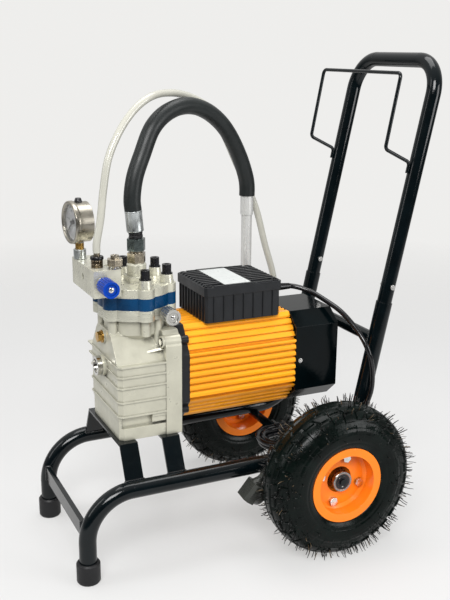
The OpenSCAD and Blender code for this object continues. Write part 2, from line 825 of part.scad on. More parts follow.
module gear_housing() {
    case_top = 378;
    boss_r = 11;
    ridge_z = [330, 313, 295, 271, 247];
    color("#cfcabf") placed() difference() {
        union() {
            intersection() {
                along_x(case_x, flange_x - case_x) polygon([[-74, 240], [-74, 330], [-66, 332],
                    [-38, 370], [-30, case_top], [30, case_top], [38, 370], [66, 332],
                    [74, 330], [74, 240]]);
                translate([0, 0, 240]) linear_extrude(150) case_plan(0, flange_x);
            }
            for (z = ridge_z) translate([0, 0, z - 1.5]) linear_extrude(3)
                case_plan(2, flange_x);
            for (k = [0, 1]) block([case_x - 0.5, flange_x], [70, 84 - 4 * k],
                [ridge_z[k] - 1.5, ridge_z[k] + 1.5]);
            translate([0, 0, case_bottom]) linear_extrude(40) case_plan(-1, flange_x);
            along_x(flange_x, front_plate_x - flange_x) union() {
                polygon([[-75, case_bottom], [-75, 356], [-56, case_top], [56, case_top],
                    [75, 356], [75, case_bottom]]);
                translate([0, motor_z]) flange_bolt_places() circle(boss_r);
            }
            along_x(flange_x - 4, 5) translate([0, motor_z]) flange_bolt_places() circle(boss_r - 0.8);
            both_sides() gusset();
            both_sides() translate([-258.8, -44.6, 0]) rod_z(352, neck_z - 352, 6.5);
            on_head_axis() {
                translate([0, 0, 354]) cylinder(h = 18, r1 = 36, r2 = 50);
                rod_z(372, neck_z - 372, 50);
            }
            bolt_places() rod_z(372, neck_z - 372, 7.5);
            translate([0, 0, 314]) rod_x(case_x - 6, 20, 18);
            translate([0, 0, 363]) rod_x(case_x - 1, 10, 12);
        }
        translate([0, 0, motor_z]) rod_x(case_x + 10, flange_x - case_x - 10, 36);
        translate([0, 0, motor_z]) rod_x(flange_x - 1, 40, 40);
        on_head_axis() {
            rod_z(motor_z, 357 - motor_z, 22);
            rod_z(350, 60, piston_r + 0.05);
        }
        bolt_places() rod_z(380, 20, 5);
        translate([0, 0, motor_z]) along_x(flange_x - 1, 30) flange_bolt_places() circle(3.1);
        translate([0, 0, motor_z]) along_x(flange_x - 21, 21) flange_bolt_places() circle(7.5);
        both_sides() {
            block([case_x + 6, flange_x - 24], [-90, -65], [226, 245]);
            block([flange_x - 25, flange_x], [-90, -65], [226, 231]);
        }
        translate([0, 0, 314]) rod_x(case_x - 10, 30, 11);
        translate([0, 0, 363]) rod_x(case_x - 2, 16, 6);
        foot_bolt_places() translate([0, 0, case_bottom - 1]) cylinder(h = 16, r = 4);
        block([front_plate_x, front_plate_x + 20], [-motor_half, motor_half],
            [neck_z - 50, motor_z + motor_top + 0.5]);
    }
}

module oil_plug() {
    color("#c9a24a") placed() translate([case_x - 1, 0, 363]) {
        rod_x(0, 13, 6);
        rod_x(-2, 2, 10.5);
        translate([-9, 0, 0]) rotate([0, 90, 0]) cylinder(h = 7, r = 9, $fn = 6);
    }
}

module sight_glass() {
    color("#c6c9cc") placed() translate([case_x - 6, 0, 314]) difference() {
        union() {
            rod_x(0, 14, 11);
            rod_x(-8, 8, 16);
        }
        rod_x(-9, 5, 11.5);
    }
}

module eccentric() {
    color("#a9abae") placed() translate([0, 0, motor_z]) difference() {
        translate([0, 0, -stroke / 2]) rod_x(-296, 28, eccentric_r);
        rod_x(-310, 50, 9);
    }
}

// Plunger whose foot is driven by the eccentric, drawn just clear of its highest point
module piston() {
    foot_z = motor_z + eccentric_r + stroke / 2 + 0.5;
    color("#bfc1c4") placed() on_head_axis() {
        rod_z(foot_z, 4, 20);
        rod_z(foot_z, neck_z + 2 - foot_z, piston_r);
    }
}

// Diaphragm head: six lobes on a disc, drilled for the bolts
module lobed(z, height) {
    difference() {
        translate([0, 0, z]) linear_extrude(height) union() {
            translate([-head_reach, 0]) circle(60);
            for (a = [30 : 60 : 330])
                translate([-head_reach + bolt_circle_r * cos(a), bolt_circle_r * sin(a)]) circle(14.5);
        }
        bolt_places() rod_z(z - 1, height + 2, 5.2);
    }
}

module hydraulic_flange() {
    color("#c4c2bb") placed() difference() {
        union() {
            lobed(neck_z, plate_z - neck_z);
            translate([pressure_axis[0], 0, pressure_axis[1]]) rod_y(-57, 20, 7);
        }
        on_head_axis() {
            rod_z(neck_z - 1, 20, piston_r + 0.6);
            rod_z(plate_z - 4, 6, 40);
        }
        translate([pressure_axis[0], 0, pressure_axis[1]]) rod_y(-58, 14, 5);
    }
}

module diaphragm() {
    color("#2b2c2d") placed() on_head_axis() rod_z(plate_z, 2, 46);
}

module pump_plate() {
    color("#1f5fae") placed() difference() {
        lobed(plate_z, head_z - plate_z);
        on_head_axis() {
            rod_z(plate_z - 1, 3, 46);
            translate([0, 0, plate_z + 2]) cylinder(h = 4, r1 = 40, r2 = 12);
            rod_z(plate_z + 4, 30, 6);
        }
    }
}

module upper_head() {
    color("#c9c6be") placed() difference() {
        union() {
            lobed(head_z, 14);
            translate([inlet_x, 0, 0]) {
                rod_z(head_z, 42.3, 16);
                translate([0, 0, head_z + 42.3]) cylinder(h = 3, r1 = 16, r2 = 13.5);
                translate([-17, -17, head_z]) cube([34, 34, 24]);
            }
            bolt_places() translate([0, 0, head_z + 14])
                cylinder(h = washer_z - head_z - 14, r1 = 11.5, r2 = 9.5);
            block(block_x, [-block_y, block_y], block_z);
            translate([0, 0, prime_axis[1]]) translate([prime_axis[0], 0, 0]) rod_y(-block_y - 3, 6, 9);
        }
        bolt_places() rod_z(head_z - 1, 60, 5.2);
        bolt_places() rod_z(washer_z, 30, 10.2);
        translate([inlet_x, 0, 0]) rod_z(head_z - 1, 60, 7);
        translate([0, 0, prime_axis[1]]) rod_x(block_x[0] - 1, 20, 5);
        translate([prime_axis[0], 0, prime_axis[1]]) rod_y(-block_y - 4, 24, 6);
        for (p = [return_port, outlet_port, gauge_port])
            translate([p[0], p[1], block_z[1] - 12]) cylinder(h = 20, r = 4);
    }
}

module head_bolts() {
    color("#3a3b3e") placed() bolt_places() {
        difference() {
            union() {
                rod_z(382, washer_z + 2 - 382, 5);
                rod_z(washer_z + 2, 14, 7.5);
            }
            translate([0, 0, washer_z + 9]) cylinder(h = 8, r = 4.6, $fn = 6);
        }
        difference() {
            rod_z(washer_z, 2, 9.5);
            rod_z(washer_z - 1, 4, 5.2);
        }
    }
}

module hex(across_flats, height) {
    cylinder(h = height, r = across_flats / 2 / cos(30), $fn = 6);
}

// Inlet, return and outlet fittings screwed into the head
module head_fittings() {
    outlet_r = 6.5;
    color("#a8946a") placed() {
        translate([inlet_x, 0, 481.3]) difference() {
            union() {
                hex(27, 16);
                rod_z(16, 3.7, 10.5);
            }
            rod_z(-1, 30, 7);
        }
        translate([return_port[0], return_port[1], 0]) difference() {
            union() {
                rod_z(block_z[1] - 10, 10, 4);
                rod_z(block_z[1], 17, 8.8);
                rod_z(block_z[1] + 17, 6, 5);
            }
            rod_z(block_z[1] - 11, 40, 2);
        }
        translate([outlet_port[0], outlet_port[1], 0]) difference() {
            union() {
                rod_z(block_z[1] - 10, 10, 4);
                rod_z(block_z[1], 2, 9.5);
                translate([0, 0, block_z[1] + 2]) hex(17, 12);
                rod_z(block_z[1] + 14, 7, outlet_r);
            }
            rod_z(block_z[1] - 11, 60, 3);
        }
    }
}

// Fluted knob on a spindle, from its spindle end at z = 0 outward
module fluted_knob(spindle_r, spindle_l, neck_r, neck_l, knob_l, knob_r) {
    flutes = 18;
    knob_z = spindle_l + neck_l;
    face_z = knob_z + knob_l;
    rod_z(0, spindle_l, spindle_r);
    rod_z(spindle_l, neck_l, neck_r);
    difference() {
        rod_z(knob_z, knob_l, knob_r);
        for (k = [0 : flutes - 1]) rotate([0, 0, 360 * k / flutes])
            translate([knob_r + 0.3, 0, knob_z - 1]) cylinder(h = knob_l - 1, r = 1.6);
        rod_z(face_z - 1.5, 3, knob_r - 4);
    }
}

module prime_knob() {
    color("#1d54b8") placed() translate([prime_axis[0], -block_y + 13, prime_axis[1]])
        rotate([90, 0, 0]) fluted_knob(5.95, 17, 10, 6, 34, 13);
}

module pressure_valve() {
    color("#2c2d2f") placed() translate([pressure_axis[0], 0, pressure_axis[1]]) difference() {
        union() {
            rod_y(-57, 13, 5);
            translate([0, -57, 0]) rotate([90, 0, 0]) hex(17, 5);
        }
        rod_y(-63, 16, 3.05);
    }
}

module pressure_knob() {
    color("#a9acb0") placed() translate([pressure_axis[0], -50, pressure_axis[1]])
        rotate([90, 0, 0]) fluted_knob(3, 12.3, 9, 2, 28, 12.5);
}

module gauge_stem() {
    color("#c3a864") placed() translate([gauge_port[0], gauge_port[1], 0]) {
        rod_z(block_z[1] - 10, 10, 4);
        translate([0, 0, block_z[1]]) hex(17, 14);
        rod_z(block_z[1] + 14, gauge_z - gauge_r - block_z[1] - 14, 7);
    }
}

module at_gauge() {
    translate([gauge_port[0], gauge_port[1], gauge_z]) rotate([0, 0, gauge_turn]) children();
}

module gauge_case() {
    front = -16;
    depth = 30;
    color("#c9ccd0") placed() difference() {
        union() {
            at_gauge() {
                rod_x(front, depth, gauge_r - 1.5);
                rod_x(front, 8, gauge_r);
                translate([0, 0, gauge_r - 3]) rod_z(0, 7, 4);
            }
            translate([gauge_port[0], gauge_port[1], gauge_z - gauge_r]) rod_z(0, 6, 7);
        }
        at_gauge() rod_x(front - 1, 9, gauge_r - 4);
    }
}

module gauge_needle() {
    color("#181818") placed() at_gauge() rotate([-135, 0, 0]) {
        rod_x(-12.8, 4.6, 3);
        block([-11.5, -10.5], [-1, 1], [-9, 24]);
    }
}

// Hoses
// Swivel nut and the crimped ferrule of the suction hose, leaning forward a little
module hose_coupling() {
    nut_z = 501;
    ring_l = 11.5;
    bore = 7;
    lean_bore = 6.2;
    color("#b9bcc0") placed() translate([inlet_x, 0, coupling_z]) difference() {
        union() {
            translate([0, 0, nut_z - coupling_z]) hex(27, coupling_z - nut_z);
            rotate([0, coupling_lean, 0]) {
                rod_z(-1, ring_l + 1, 9.5);
                rod_z(ring_l, coupling_l - ring_l, 13.5);
            }
        }
        rod_z(nut_z - coupling_z - 1, coupling_z - nut_z + 1, bore);
        rotate([0, coupling_lean, 0]) rod_z(-8, coupling_l + 12, lean_bore);
    }
}

module suction_hose() {
    echo(suction_hose_length = route_length(suction_route));
    color("#1c1c1d") placed() swept(suction_route, suction_hose_d, 12);
}

// Rigid pipe on the hose's far end, its crimped ferrule above and its strainer below
module suction_pipe() {
    far = suction_route[len(suction_route) - 1];
    strainer_z = 178;
    color("#aeb1b5") placed() translate([far[0], far[1], 0]) {
        rod_z(far[2] - 34, 34, 11.5);
        rod_z(strainer_z + 60, far[2] - 34 - strainer_z - 60, 9.5);
        difference() {
            rod_z(strainer_z, 60, 13);
            for (k = [0 : 5]) rod_rings(strainer_z + 6 + 9 * k);
        }
    }
}

module rod_rings(z) {
    difference() {
        rod_z(z, 4, 14);
        rod_z(z - 1, 6, 11.5);
    }
}

module return_hose() {
    echo(return_hose_length = route_length(return_route));
    color("#d9dcd9") placed() swept(return_route, return_hose_d, 8);
}

// Power cord: a free stretch, a hank of long loops and the lead to the plug
module power_cord() {
    echo(power_cord_length = route_length(cord_route));
    color("#151515") placed() swept(cord_route, cord_d, 8);
}

// The hank has 24 steps a turn, 10 on each arc and 2 on each run. It winds inward on the upper
// layer, drops along the run where it turns back, and winds outward on the lower one.
arc_share = 10 / 24;
run_share = 2 / 24;
coil_reversal = 2 + run_share / 2;
coil_turns = 4 + run_share;
coil_in_r = coil_out_r - coil_pitch * coil_reversal;
function coil_radius(u) = coil_in_r + coil_pitch * abs(u - coil_reversal);
function coil_drop(u) = min(1, max(0, (u - 2) / run_share));
function coil_point(u) =
    let (f = u + arc_share - floor(u + arc_share), side = f < 0.5 ? 1 : -1,
        g = f < 0.5 ? f : f - 0.5, on_arc = g < arc_share,
        a = -90 * side + (on_arc ? g / arc_share * 180 : 180),
        slide = on_arc ? side : side * (1 - 2 * (g - arc_share) / run_share))
    [coil_centre[0] + slide * coil_run / 2 + coil_radius(u) * cos(a),
        coil_centre[1] - coil_radius(u) * sin(a),
        coil_z + coil_layer * (1 - coil_drop(u))];
coil_end = coil_point(coil_turns) - [cord_d, 0, 0];
cord_end = cord_route[len(cord_route) - 1];
coil_path = concat([cord_end], [for (i = [3 : 24 * coil_turns]) coil_point(i / 24)], [coil_end]);
// Least distance between two stretches of the hank that aren't neighbours
coil_fine = [for (i = [12 : 96 * coil_turns]) coil_point(i / 96)];
coil_gap = min([for (i = [0 : len(coil_fine) - 1], j = [i + 30 : 1 : len(coil_fine) - 1])
    norm(coil_fine[i] - coil_fine[j])]) - cord_d;

module cord_coil() {
    echo(cord_coil_length = route_length(coil_path), cord_coil_gap = coil_gap);
    color("#151515") placed() swept(coil_path, cord_d, 6);
}

module plug_lead() {
    path = concat([coil_end], lead_route);
    echo(plug_lead_length = route_length(path));
    color("#151515") placed() swept(path, cord_d, 8);
}

// Outline of the plug's body across its length, its corners cut
module plug_outline() {
    polygon([[-12, -12], [-7, -17], [6, -17], [10, -13], [10, 13], [6, 17], [-7, 17], [-12, 12]]);
}

// Moulded two-pin plug: a ribbed relief, a body and a round face square to the pins
module plug() {
    start = lead_route[len(lead_route) - 1];
    dir = unit(relief_dir);
    color("#38393b") placed() multmatrix(frame_at(start, square_to([1, 0, 0], dir), dir)) {
        rod_z(0, 20, 5);
        for (z = [3 : 5 : 18]) rod_z(z, 2.5, 5.5);
        translate([0, 0, 20]) cylinder(h = 12.5, r1 = 5, r2 = 11);
        translate([0, 0, 32]) linear_extrude(32) plug_outline();
        translate([0, 0, 46.5]) rotate([0, 90, 0]) {
            translate([0, 0, 7]) cylinder(h = 12, r = 18.5);
            for (y = [-9.5, 9.5]) translate([0, y, 18]) cylinder(h = 20, r = 2.4);
        }
    }
}

side_tube_left();
side_tube_right();
foot_caps();
front_brace();
cross_tube();
pump_saddles();
axle();
axle_clips();
handle();
handle_bolts();
hose_hook();
tyre_left();
rim_left();
wheel_hub_left();
rim_bolts_left();
wheel_bearings_left();
tyre_right();
rim_right();
wheel_hub_right();
rim_bolts_right();
wheel_bearings_right();
motor_housing();
stator_core();
motor_front_plate();
motor_rear_plate();
motor_bearings();
motor_shaft();
rotor_core();
fan();
fan_cover();
case_screws();
box_base();
box_lid();
switch_rocker();
cable_gland();
gear_housing();
oil_plug();
sight_glass();
eccentric();
piston();
hydraulic_flange();
diaphragm();
pump_plate();
upper_head();
head_bolts();
head_fittings();
prime_knob();
pressure_valve();
pressure_knob();
gauge_stem();
gauge_case();
gauge_needle();
hose_coupling();
suction_hose();
suction_pipe();
return_hose();
power_cord();
cord_coil();
plug_lead();
plug();
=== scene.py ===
"""Looks of the airless paint sprayer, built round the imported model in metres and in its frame.

Places along the cart are given in millimetres from the wheels' axle, as at(x, y, z):
x runs from the feet to the handle, -y is the operator's left and z is up.
"""

import math
import random

import bmesh
import bpy
import numpy as np
from mathutils import Matrix, Vector


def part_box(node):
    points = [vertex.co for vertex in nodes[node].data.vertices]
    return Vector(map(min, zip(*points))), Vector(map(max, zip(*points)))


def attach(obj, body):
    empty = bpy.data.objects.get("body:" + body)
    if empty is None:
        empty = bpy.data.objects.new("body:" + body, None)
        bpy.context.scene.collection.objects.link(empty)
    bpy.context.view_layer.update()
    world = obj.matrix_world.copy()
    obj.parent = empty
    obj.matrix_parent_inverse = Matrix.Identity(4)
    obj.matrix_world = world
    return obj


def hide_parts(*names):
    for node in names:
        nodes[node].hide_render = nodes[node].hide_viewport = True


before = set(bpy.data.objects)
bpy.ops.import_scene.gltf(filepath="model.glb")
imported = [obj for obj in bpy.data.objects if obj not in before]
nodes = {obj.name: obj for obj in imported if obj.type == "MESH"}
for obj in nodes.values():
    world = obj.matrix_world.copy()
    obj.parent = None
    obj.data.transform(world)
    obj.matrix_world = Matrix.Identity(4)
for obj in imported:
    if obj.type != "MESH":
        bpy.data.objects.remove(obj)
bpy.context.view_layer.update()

MM = 0.001
SIDES = {"left": -1, "right": 1}


# --- Places --------------------------------------------------------------------

def box_centre(node):
    low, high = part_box(node)
    return (low + high) / 2


AXLE = box_centre("axle")


def at(x, y, z):
    """A point in millimetres from the axle and above the floor, as metres in the part's frame."""
    return Vector((AXLE.x + x * MM, y * MM, z * MM))


# --- Camera, light and background ----------------------------------------------

BACKGROUND = (0.86, 0.855, 0.84)
CAMERA_PLACE = (-0.6588, -1.3627, 0.8149)
CAMERA_YAW, CAMERA_PITCH, CAMERA_ROLL = 25.23, 15.4, 0.51
LENS_MM = 54.7
FLOOR_RADIUS, FLOOR_SIDES = 6.0, 64
FLOOR_FADE = (1.1, 2.6)
# Name, place, target and size in metres, and power in watts
LAMPS = (
    ("key", (-1.2, -2.1, 2.3), (0, 0, 0.35), (1.5, 1.1), 84),
    ("rim", (-2.2, 0.3, 1.5), (0, 0, 0.4), (0.5, 1.6), 9),
    ("fill", (1.6, -2.0, 1.0), (0, 0, 0.3), (1.2, 1.2), 28),
    ("top", (0.1, 0.3, 2.6), (0, 0, 0.3), (1.8, 1.2), 30),
)


def add_object(name, data):
    """An object of the data, linked to the scene."""
    thing = bpy.data.objects.new(name, data)
    bpy.context.scene.collection.objects.link(thing)
    return thing


def make_camera():
    """The photograph's view: turned 25 degrees towards +X and tipped 15 degrees down."""
    yaw, pitch, roll = (math.radians(a) for a in (CAMERA_YAW, CAMERA_PITCH, CAMERA_ROLL))
    ahead = Vector((math.sin(yaw) * math.cos(pitch), math.cos(yaw) * math.cos(pitch),
                    -math.sin(pitch)))
    right = Vector((math.cos(yaw), -math.sin(yaw), 0))
    up = right.cross(ahead)
    rolled_right = right * math.cos(roll) + up * math.sin(roll)
    rolled_up = up * math.cos(roll) - right * math.sin(roll)
    data = bpy.data.cameras.new("camera")
    data.lens = LENS_MM
    camera = add_object("camera", data)
    turn = Matrix((rolled_right, rolled_up, -ahead)).transposed().to_4x4()
    camera.matrix_world = Matrix.Translation(CAMERA_PLACE) @ turn
    bpy.context.scene.camera = camera


def area_light(name, place, target, size, power):
    data = bpy.data.lights.new(name, "AREA")
    data.shape = "RECTANGLE"
    data.size, data.size_y = size
    data.energy = power
    light = add_object(name, data)
    light.location = place
    light.rotation_euler = (Vector(target) - Vector(place)).to_track_quat("-Z", "Y").to_euler()


def make_world():
    """Even light all round. Reflections see it pale behind and above, and darker in front."""
    world = bpy.data.worlds.new("studio")
    bpy.context.scene.world = world
    world.use_nodes = True
    tree = world.node_tree
    link = tree.links.new
    tree.nodes.clear()
    output = add_node(tree, "OutputWorld")
    mix = add_node(tree, "MixShader")
    ambient = add_node(tree, "Background", Color=(0.95, 0.97, 1.0, 1), Strength=0.5)
    seen = add_node(tree, "Background", Color=(*BACKGROUND, 1))
    place = add_node(tree, "TexCoord")
    along = add_node(tree, "VectorMath")
    along.operation = "DOT_PRODUCT"
    along.inputs[1].default_value = (0.1, 0.5, 0.86)
    link(place.outputs["Generated"], along.inputs[0])
    fade = map_range(tree, along.outputs["Value"], -0.15, 0.9, 0.05, 1.0)
    path = add_node(tree, "LightPath")
    level = add_node(tree, "Math")
    level.operation = "MAXIMUM"
    link(fade, level.inputs[0])
    link(path.outputs["Is Camera Ray"], level.inputs[1])
    link(level.outputs[0], seen.inputs["Strength"])
    link(seen_directly(tree), mix.inputs["Fac"])
    link(ambient.outputs[0], mix.inputs[1])
    link(seen.outputs[0], mix.inputs[2])
    link(mix.outputs[0], output.inputs["Surface"])


def set_inputs(node, **values):
    for name, value in values.items():
        node.inputs[name.replace("_", " ")].default_value = value


def add_node(tree, kind, **values):
    node = tree.nodes.new("ShaderNode" + kind)
    set_inputs(node, **values)
    return node


def map_range(tree, value, low, high, to_low, to_high):
    node = add_node(tree, "MapRange", From_Min=low, From_Max=high, To_Min=to_low, To_Max=to_high)
    tree.links.new(value, node.inputs["Value"])
    return node.outputs["Result"]


def seen_directly(tree):
    """1 for rays that come from the camera, a reflection or a refraction, and otherwise 0."""
    path = add_node(tree, "LightPath")
    total = path.outputs["Is Camera Ray"]
    for name in ("Is Glossy Ray", "Is Transmission Ray"):
        larger = add_node(tree, "Math")
        larger.operation = "MAXIMUM"
        tree.links.new(total, larger.inputs[0])
        tree.links.new(path.outputs[name], larger.inputs[1])
        total = larger.outputs[0]
    return total


def make_floor():
    """A round floor that fades into the background at its rim and keeps the object's shadow."""
    rim = [(FLOOR_RADIUS * math.cos(a), FLOOR_RADIUS * math.sin(a), 0)
           for a in np.linspace(0, 2 * math.pi, FLOOR_SIDES + 1)[:-1]]
    floor = mesh_object("floor", rim, [range(FLOOR_SIDES)], floor_paint())


def floor_paint():
    """Grey paint in the lamps' light, with the rest of the background's level as its own glow."""
    paint = bpy.data.materials.new("floor_paint")
    paint.use_nodes = True
    tree = paint.node_tree
    link = tree.links.new
    tree.nodes.clear()
    diffuse = add_node(tree, "BsdfDiffuse", Color=(0.3, 0.3, 0.3, 1))
    glow = add_node(tree, "Emission", Color=(0.45, 0.445, 0.435, 1))
    link(seen_directly(tree), glow.inputs["Strength"])
    both = add_node(tree, "AddShader")
    link(diffuse.outputs[0], both.inputs[0])
    link(glow.outputs[0], both.inputs[1])
    place = add_node(tree, "TexCoord")
    distance = add_node(tree, "VectorMath")
    distance.operation = "LENGTH"
    link(place.outputs["Object"], distance.inputs[0])
    clear = add_node(tree, "BsdfTransparent")
    mix = add_node(tree, "MixShader")
    link(map_range(tree, distance.outputs["Value"], *FLOOR_FADE, 0, 1), mix.inputs["Fac"])
    link(both.outputs[0], mix.inputs[1])
    link(clear.outputs[0], mix.inputs[2])
    output = add_node(tree, "OutputMaterial")
    link(mix.outputs[0], output.inputs["Surface"])
    return paint


# --- Meshes --------------------------------------------------------------------

def mesh_object(name, points, faces, material):
    mesh = bpy.data.meshes.new(name)
    mesh.from_pydata([tuple(p) for p in points], [], [tuple(f) for f in faces])
    mesh.validate()
    mesh.polygons.foreach_set("use_smooth", [True] * len(mesh.polygons))
    mesh.materials.append(material)
    return add_object(name, mesh)


def from_bmesh(name, bm, material, smooth_angle=35):
    """An object of a bmesh, its edges sharp where they turn by more than the angle."""
    bmesh.ops.recalc_face_normals(bm, faces=bm.faces)
    mesh = bpy.data.meshes.new(name)
    bm.to_mesh(mesh)
    bm.free()
    mesh.polygons.foreach_set("use_smooth", [True] * len(mesh.polygons))
    mesh.set_sharp_from_angle(angle=math.radians(smooth_angle))
    mesh.materials.append(material)
    return add_object(name, mesh)


def lathe(bm, profile, place, axis, steps=48):
    """Turns a profile of (distance along the axis, radius) points round the axis at place."""
    turn = Vector(axis).to_track_quat("Z", "X").to_matrix().to_4x4()
    where = Matrix.Translation(place) @ turn
    rings = []
    for along, radius in profile:
        if radius == 0:
            rings.append([bm.verts.new(where @ Vector((0, 0, along)))])
            continue
        turns = [2 * math.pi * k / steps for k in range(steps)]
        ring = [Vector((radius * math.cos(a), radius * math.sin(a), along)) for a in turns]
        rings.append([bm.verts.new(where @ corner) for corner in ring])
    for a, b in zip(rings, rings[1:]):
        for k in range(steps):
            corners = [a[k % len(a)], a[(k + 1) % len(a)], b[(k + 1) % len(b)], b[k % len(b)]]
            corners = list(dict.fromkeys(corners))
            if len(corners) > 2:
                bm.faces.new(corners)


def join_rings(bm, rings, capped=False):
    """Faces from each ring of points to the next, and over both ends where it's capped."""
    for a, b in zip(rings, rings[1:]):
        for k in range(len(a)):
            n = (k + 1) % len(a)
            bm.faces.new((a[k], a[n], b[n], b[k]))
    if capped:
        bm.faces.new(rings[0])
        bm.faces.new(rings[-1])


def slab(bm, corners, thickness, normal):
    """A flat plate whose outline is the corners, with a thickness along the normal."""
    low = [bm.verts.new(c) for c in corners]
    high = [bm.verts.new(Vector(c) + Vector(normal) * thickness) for c in corners]
    bm.faces.new(low)
    bm.faces.new(high)
    for k in range(len(corners)):
        n = (k + 1) % len(corners)
        bm.faces.new((low[k], low[n], high[n], high[k]))


# --- Materials -----------------------------------------------------------------

def finish(name, colour, rough, metal=0.0, tint=0.12, tint_scale=30.0, swing=0.08, grain=0.0,
           grain_scale=900.0, stretch=(1, 1, 1), spots=None, edge=0.0, wear=0.0, crevice=0.0,
           reach=0.016, **sockets):
    """A shader with uneven colour, uneven gloss and a fine relief.

    tint is how far the colour drifts over patches of tint_scale per metre, swing how far the
    roughness does, and grain the height in metres of a relief of grain_scale per metre. spots is
    (colour, scale, share): small marks of another colour over that share of the surface. edge is
    the radius in metres to which edges look rounded; the next amount is how much paler edges are
    painted, partly as rubbed paint and partly as a painted highlight, and the one after is how
    much darker corners and gaps are painted, as painted shade from occlusion out to a distance
    of reach.
    """
    material = bpy.data.materials.new(name)
    material.use_nodes = True
    tree = material.node_tree
    link = tree.links.new
    shader = tree.nodes["Principled BSDF"]
    set_inputs(shader, Metallic=metal, **sockets)
    place = add_node(tree, "TexCoord")
    mapping = add_node(tree, "Mapping", Scale=stretch)
    link(place.outputs["Object"], mapping.inputs["Vector"])

    def noise(scale, detail=4.0):
        node = add_node(tree, "TexNoise", Scale=scale, Detail=detail)
        link(mapping.outputs["Vector"], node.inputs["Vector"])
        return node.outputs["Fac"]

    def blend(factor, first, second):
        node = add_node(tree, "Mix")
        node.data_type = "RGBA"
        link(factor, node.inputs["Factor"])
        link(first, node.inputs[6])
        node.inputs[7].default_value = (*second, 1)
        return node.outputs[2]

    ramp = add_node(tree, "ValToRGB")
    ramp.color_ramp.elements[0].position = 0.32
    ramp.color_ramp.elements[1].position = 0.68
    ramp.color_ramp.elements[0].color = [c * (1 - tint) for c in colour] + [1]
    ramp.color_ramp.elements[1].color = [min(1.0, c * (1 + tint)) for c in colour] + [1]
    link(noise(tint_scale), ramp.inputs["Fac"])
    colour_out = ramp.outputs["Color"]
    if spots:
        spot_colour, spot_scale, share = spots
        mask = map_range(tree, noise(spot_scale, 6.0), 0.72 - share, 0.78 - share, 0, 1)
        colour_out = blend(mask, colour_out, spot_colour)
    # Painted shade: ambient occlusion darkens the colour in corners and gaps.
    if crevice:
        shade = add_node(tree, "AmbientOcclusion", Distance=reach)
        shade.samples = 6
        mask = map_range(tree, shade.outputs["AO"], 0.35, 0.85, crevice, 0)
        colour_out = blend(mask, colour_out, [c * 0.18 for c in colour])

    normal = None
    if edge:
        rounded = add_node(tree, "Bevel", Radius=edge)
        rounded.samples = 4
        normal = rounded.outputs["Normal"]
        # Paler where the rounded normal bends from the flat one: partly rubbed paint on edges,
        # partly a painted highlight.
        if wear:
            flat = add_node(tree, "NewGeometry")
            bend = add_node(tree, "VectorMath")
            bend.operation = "DOT_PRODUCT"
            link(normal, bend.inputs[0])
            link(flat.outputs["Normal"], bend.inputs[1])
            mask = map_range(tree, bend.outputs["Value"], 0.995, 0.9, 0, wear)
            colour_out = blend(mask, colour_out, [min(1.0, c * 1.6 + 0.05) for c in colour])
    link(colour_out, shader.inputs["Base Color"])
    gloss = map_range(tree, noise(tint_scale * 2.3, 6.0), 0.3, 0.7, max(0.02, rough - swing),
                      min(1.0, rough + swing))
    link(gloss, shader.inputs["Roughness"])
    if grain:
        bump = add_node(tree, "Bump", Distance=grain, Strength=1.0)
        link(noise(grain_scale, 3.0), bump.inputs["Height"])
        if normal:
            link(normal, bump.inputs["Normal"])
        normal = bump.outputs["Normal"]
    if normal:
        link(normal, shader.inputs["Normal"])
    return material


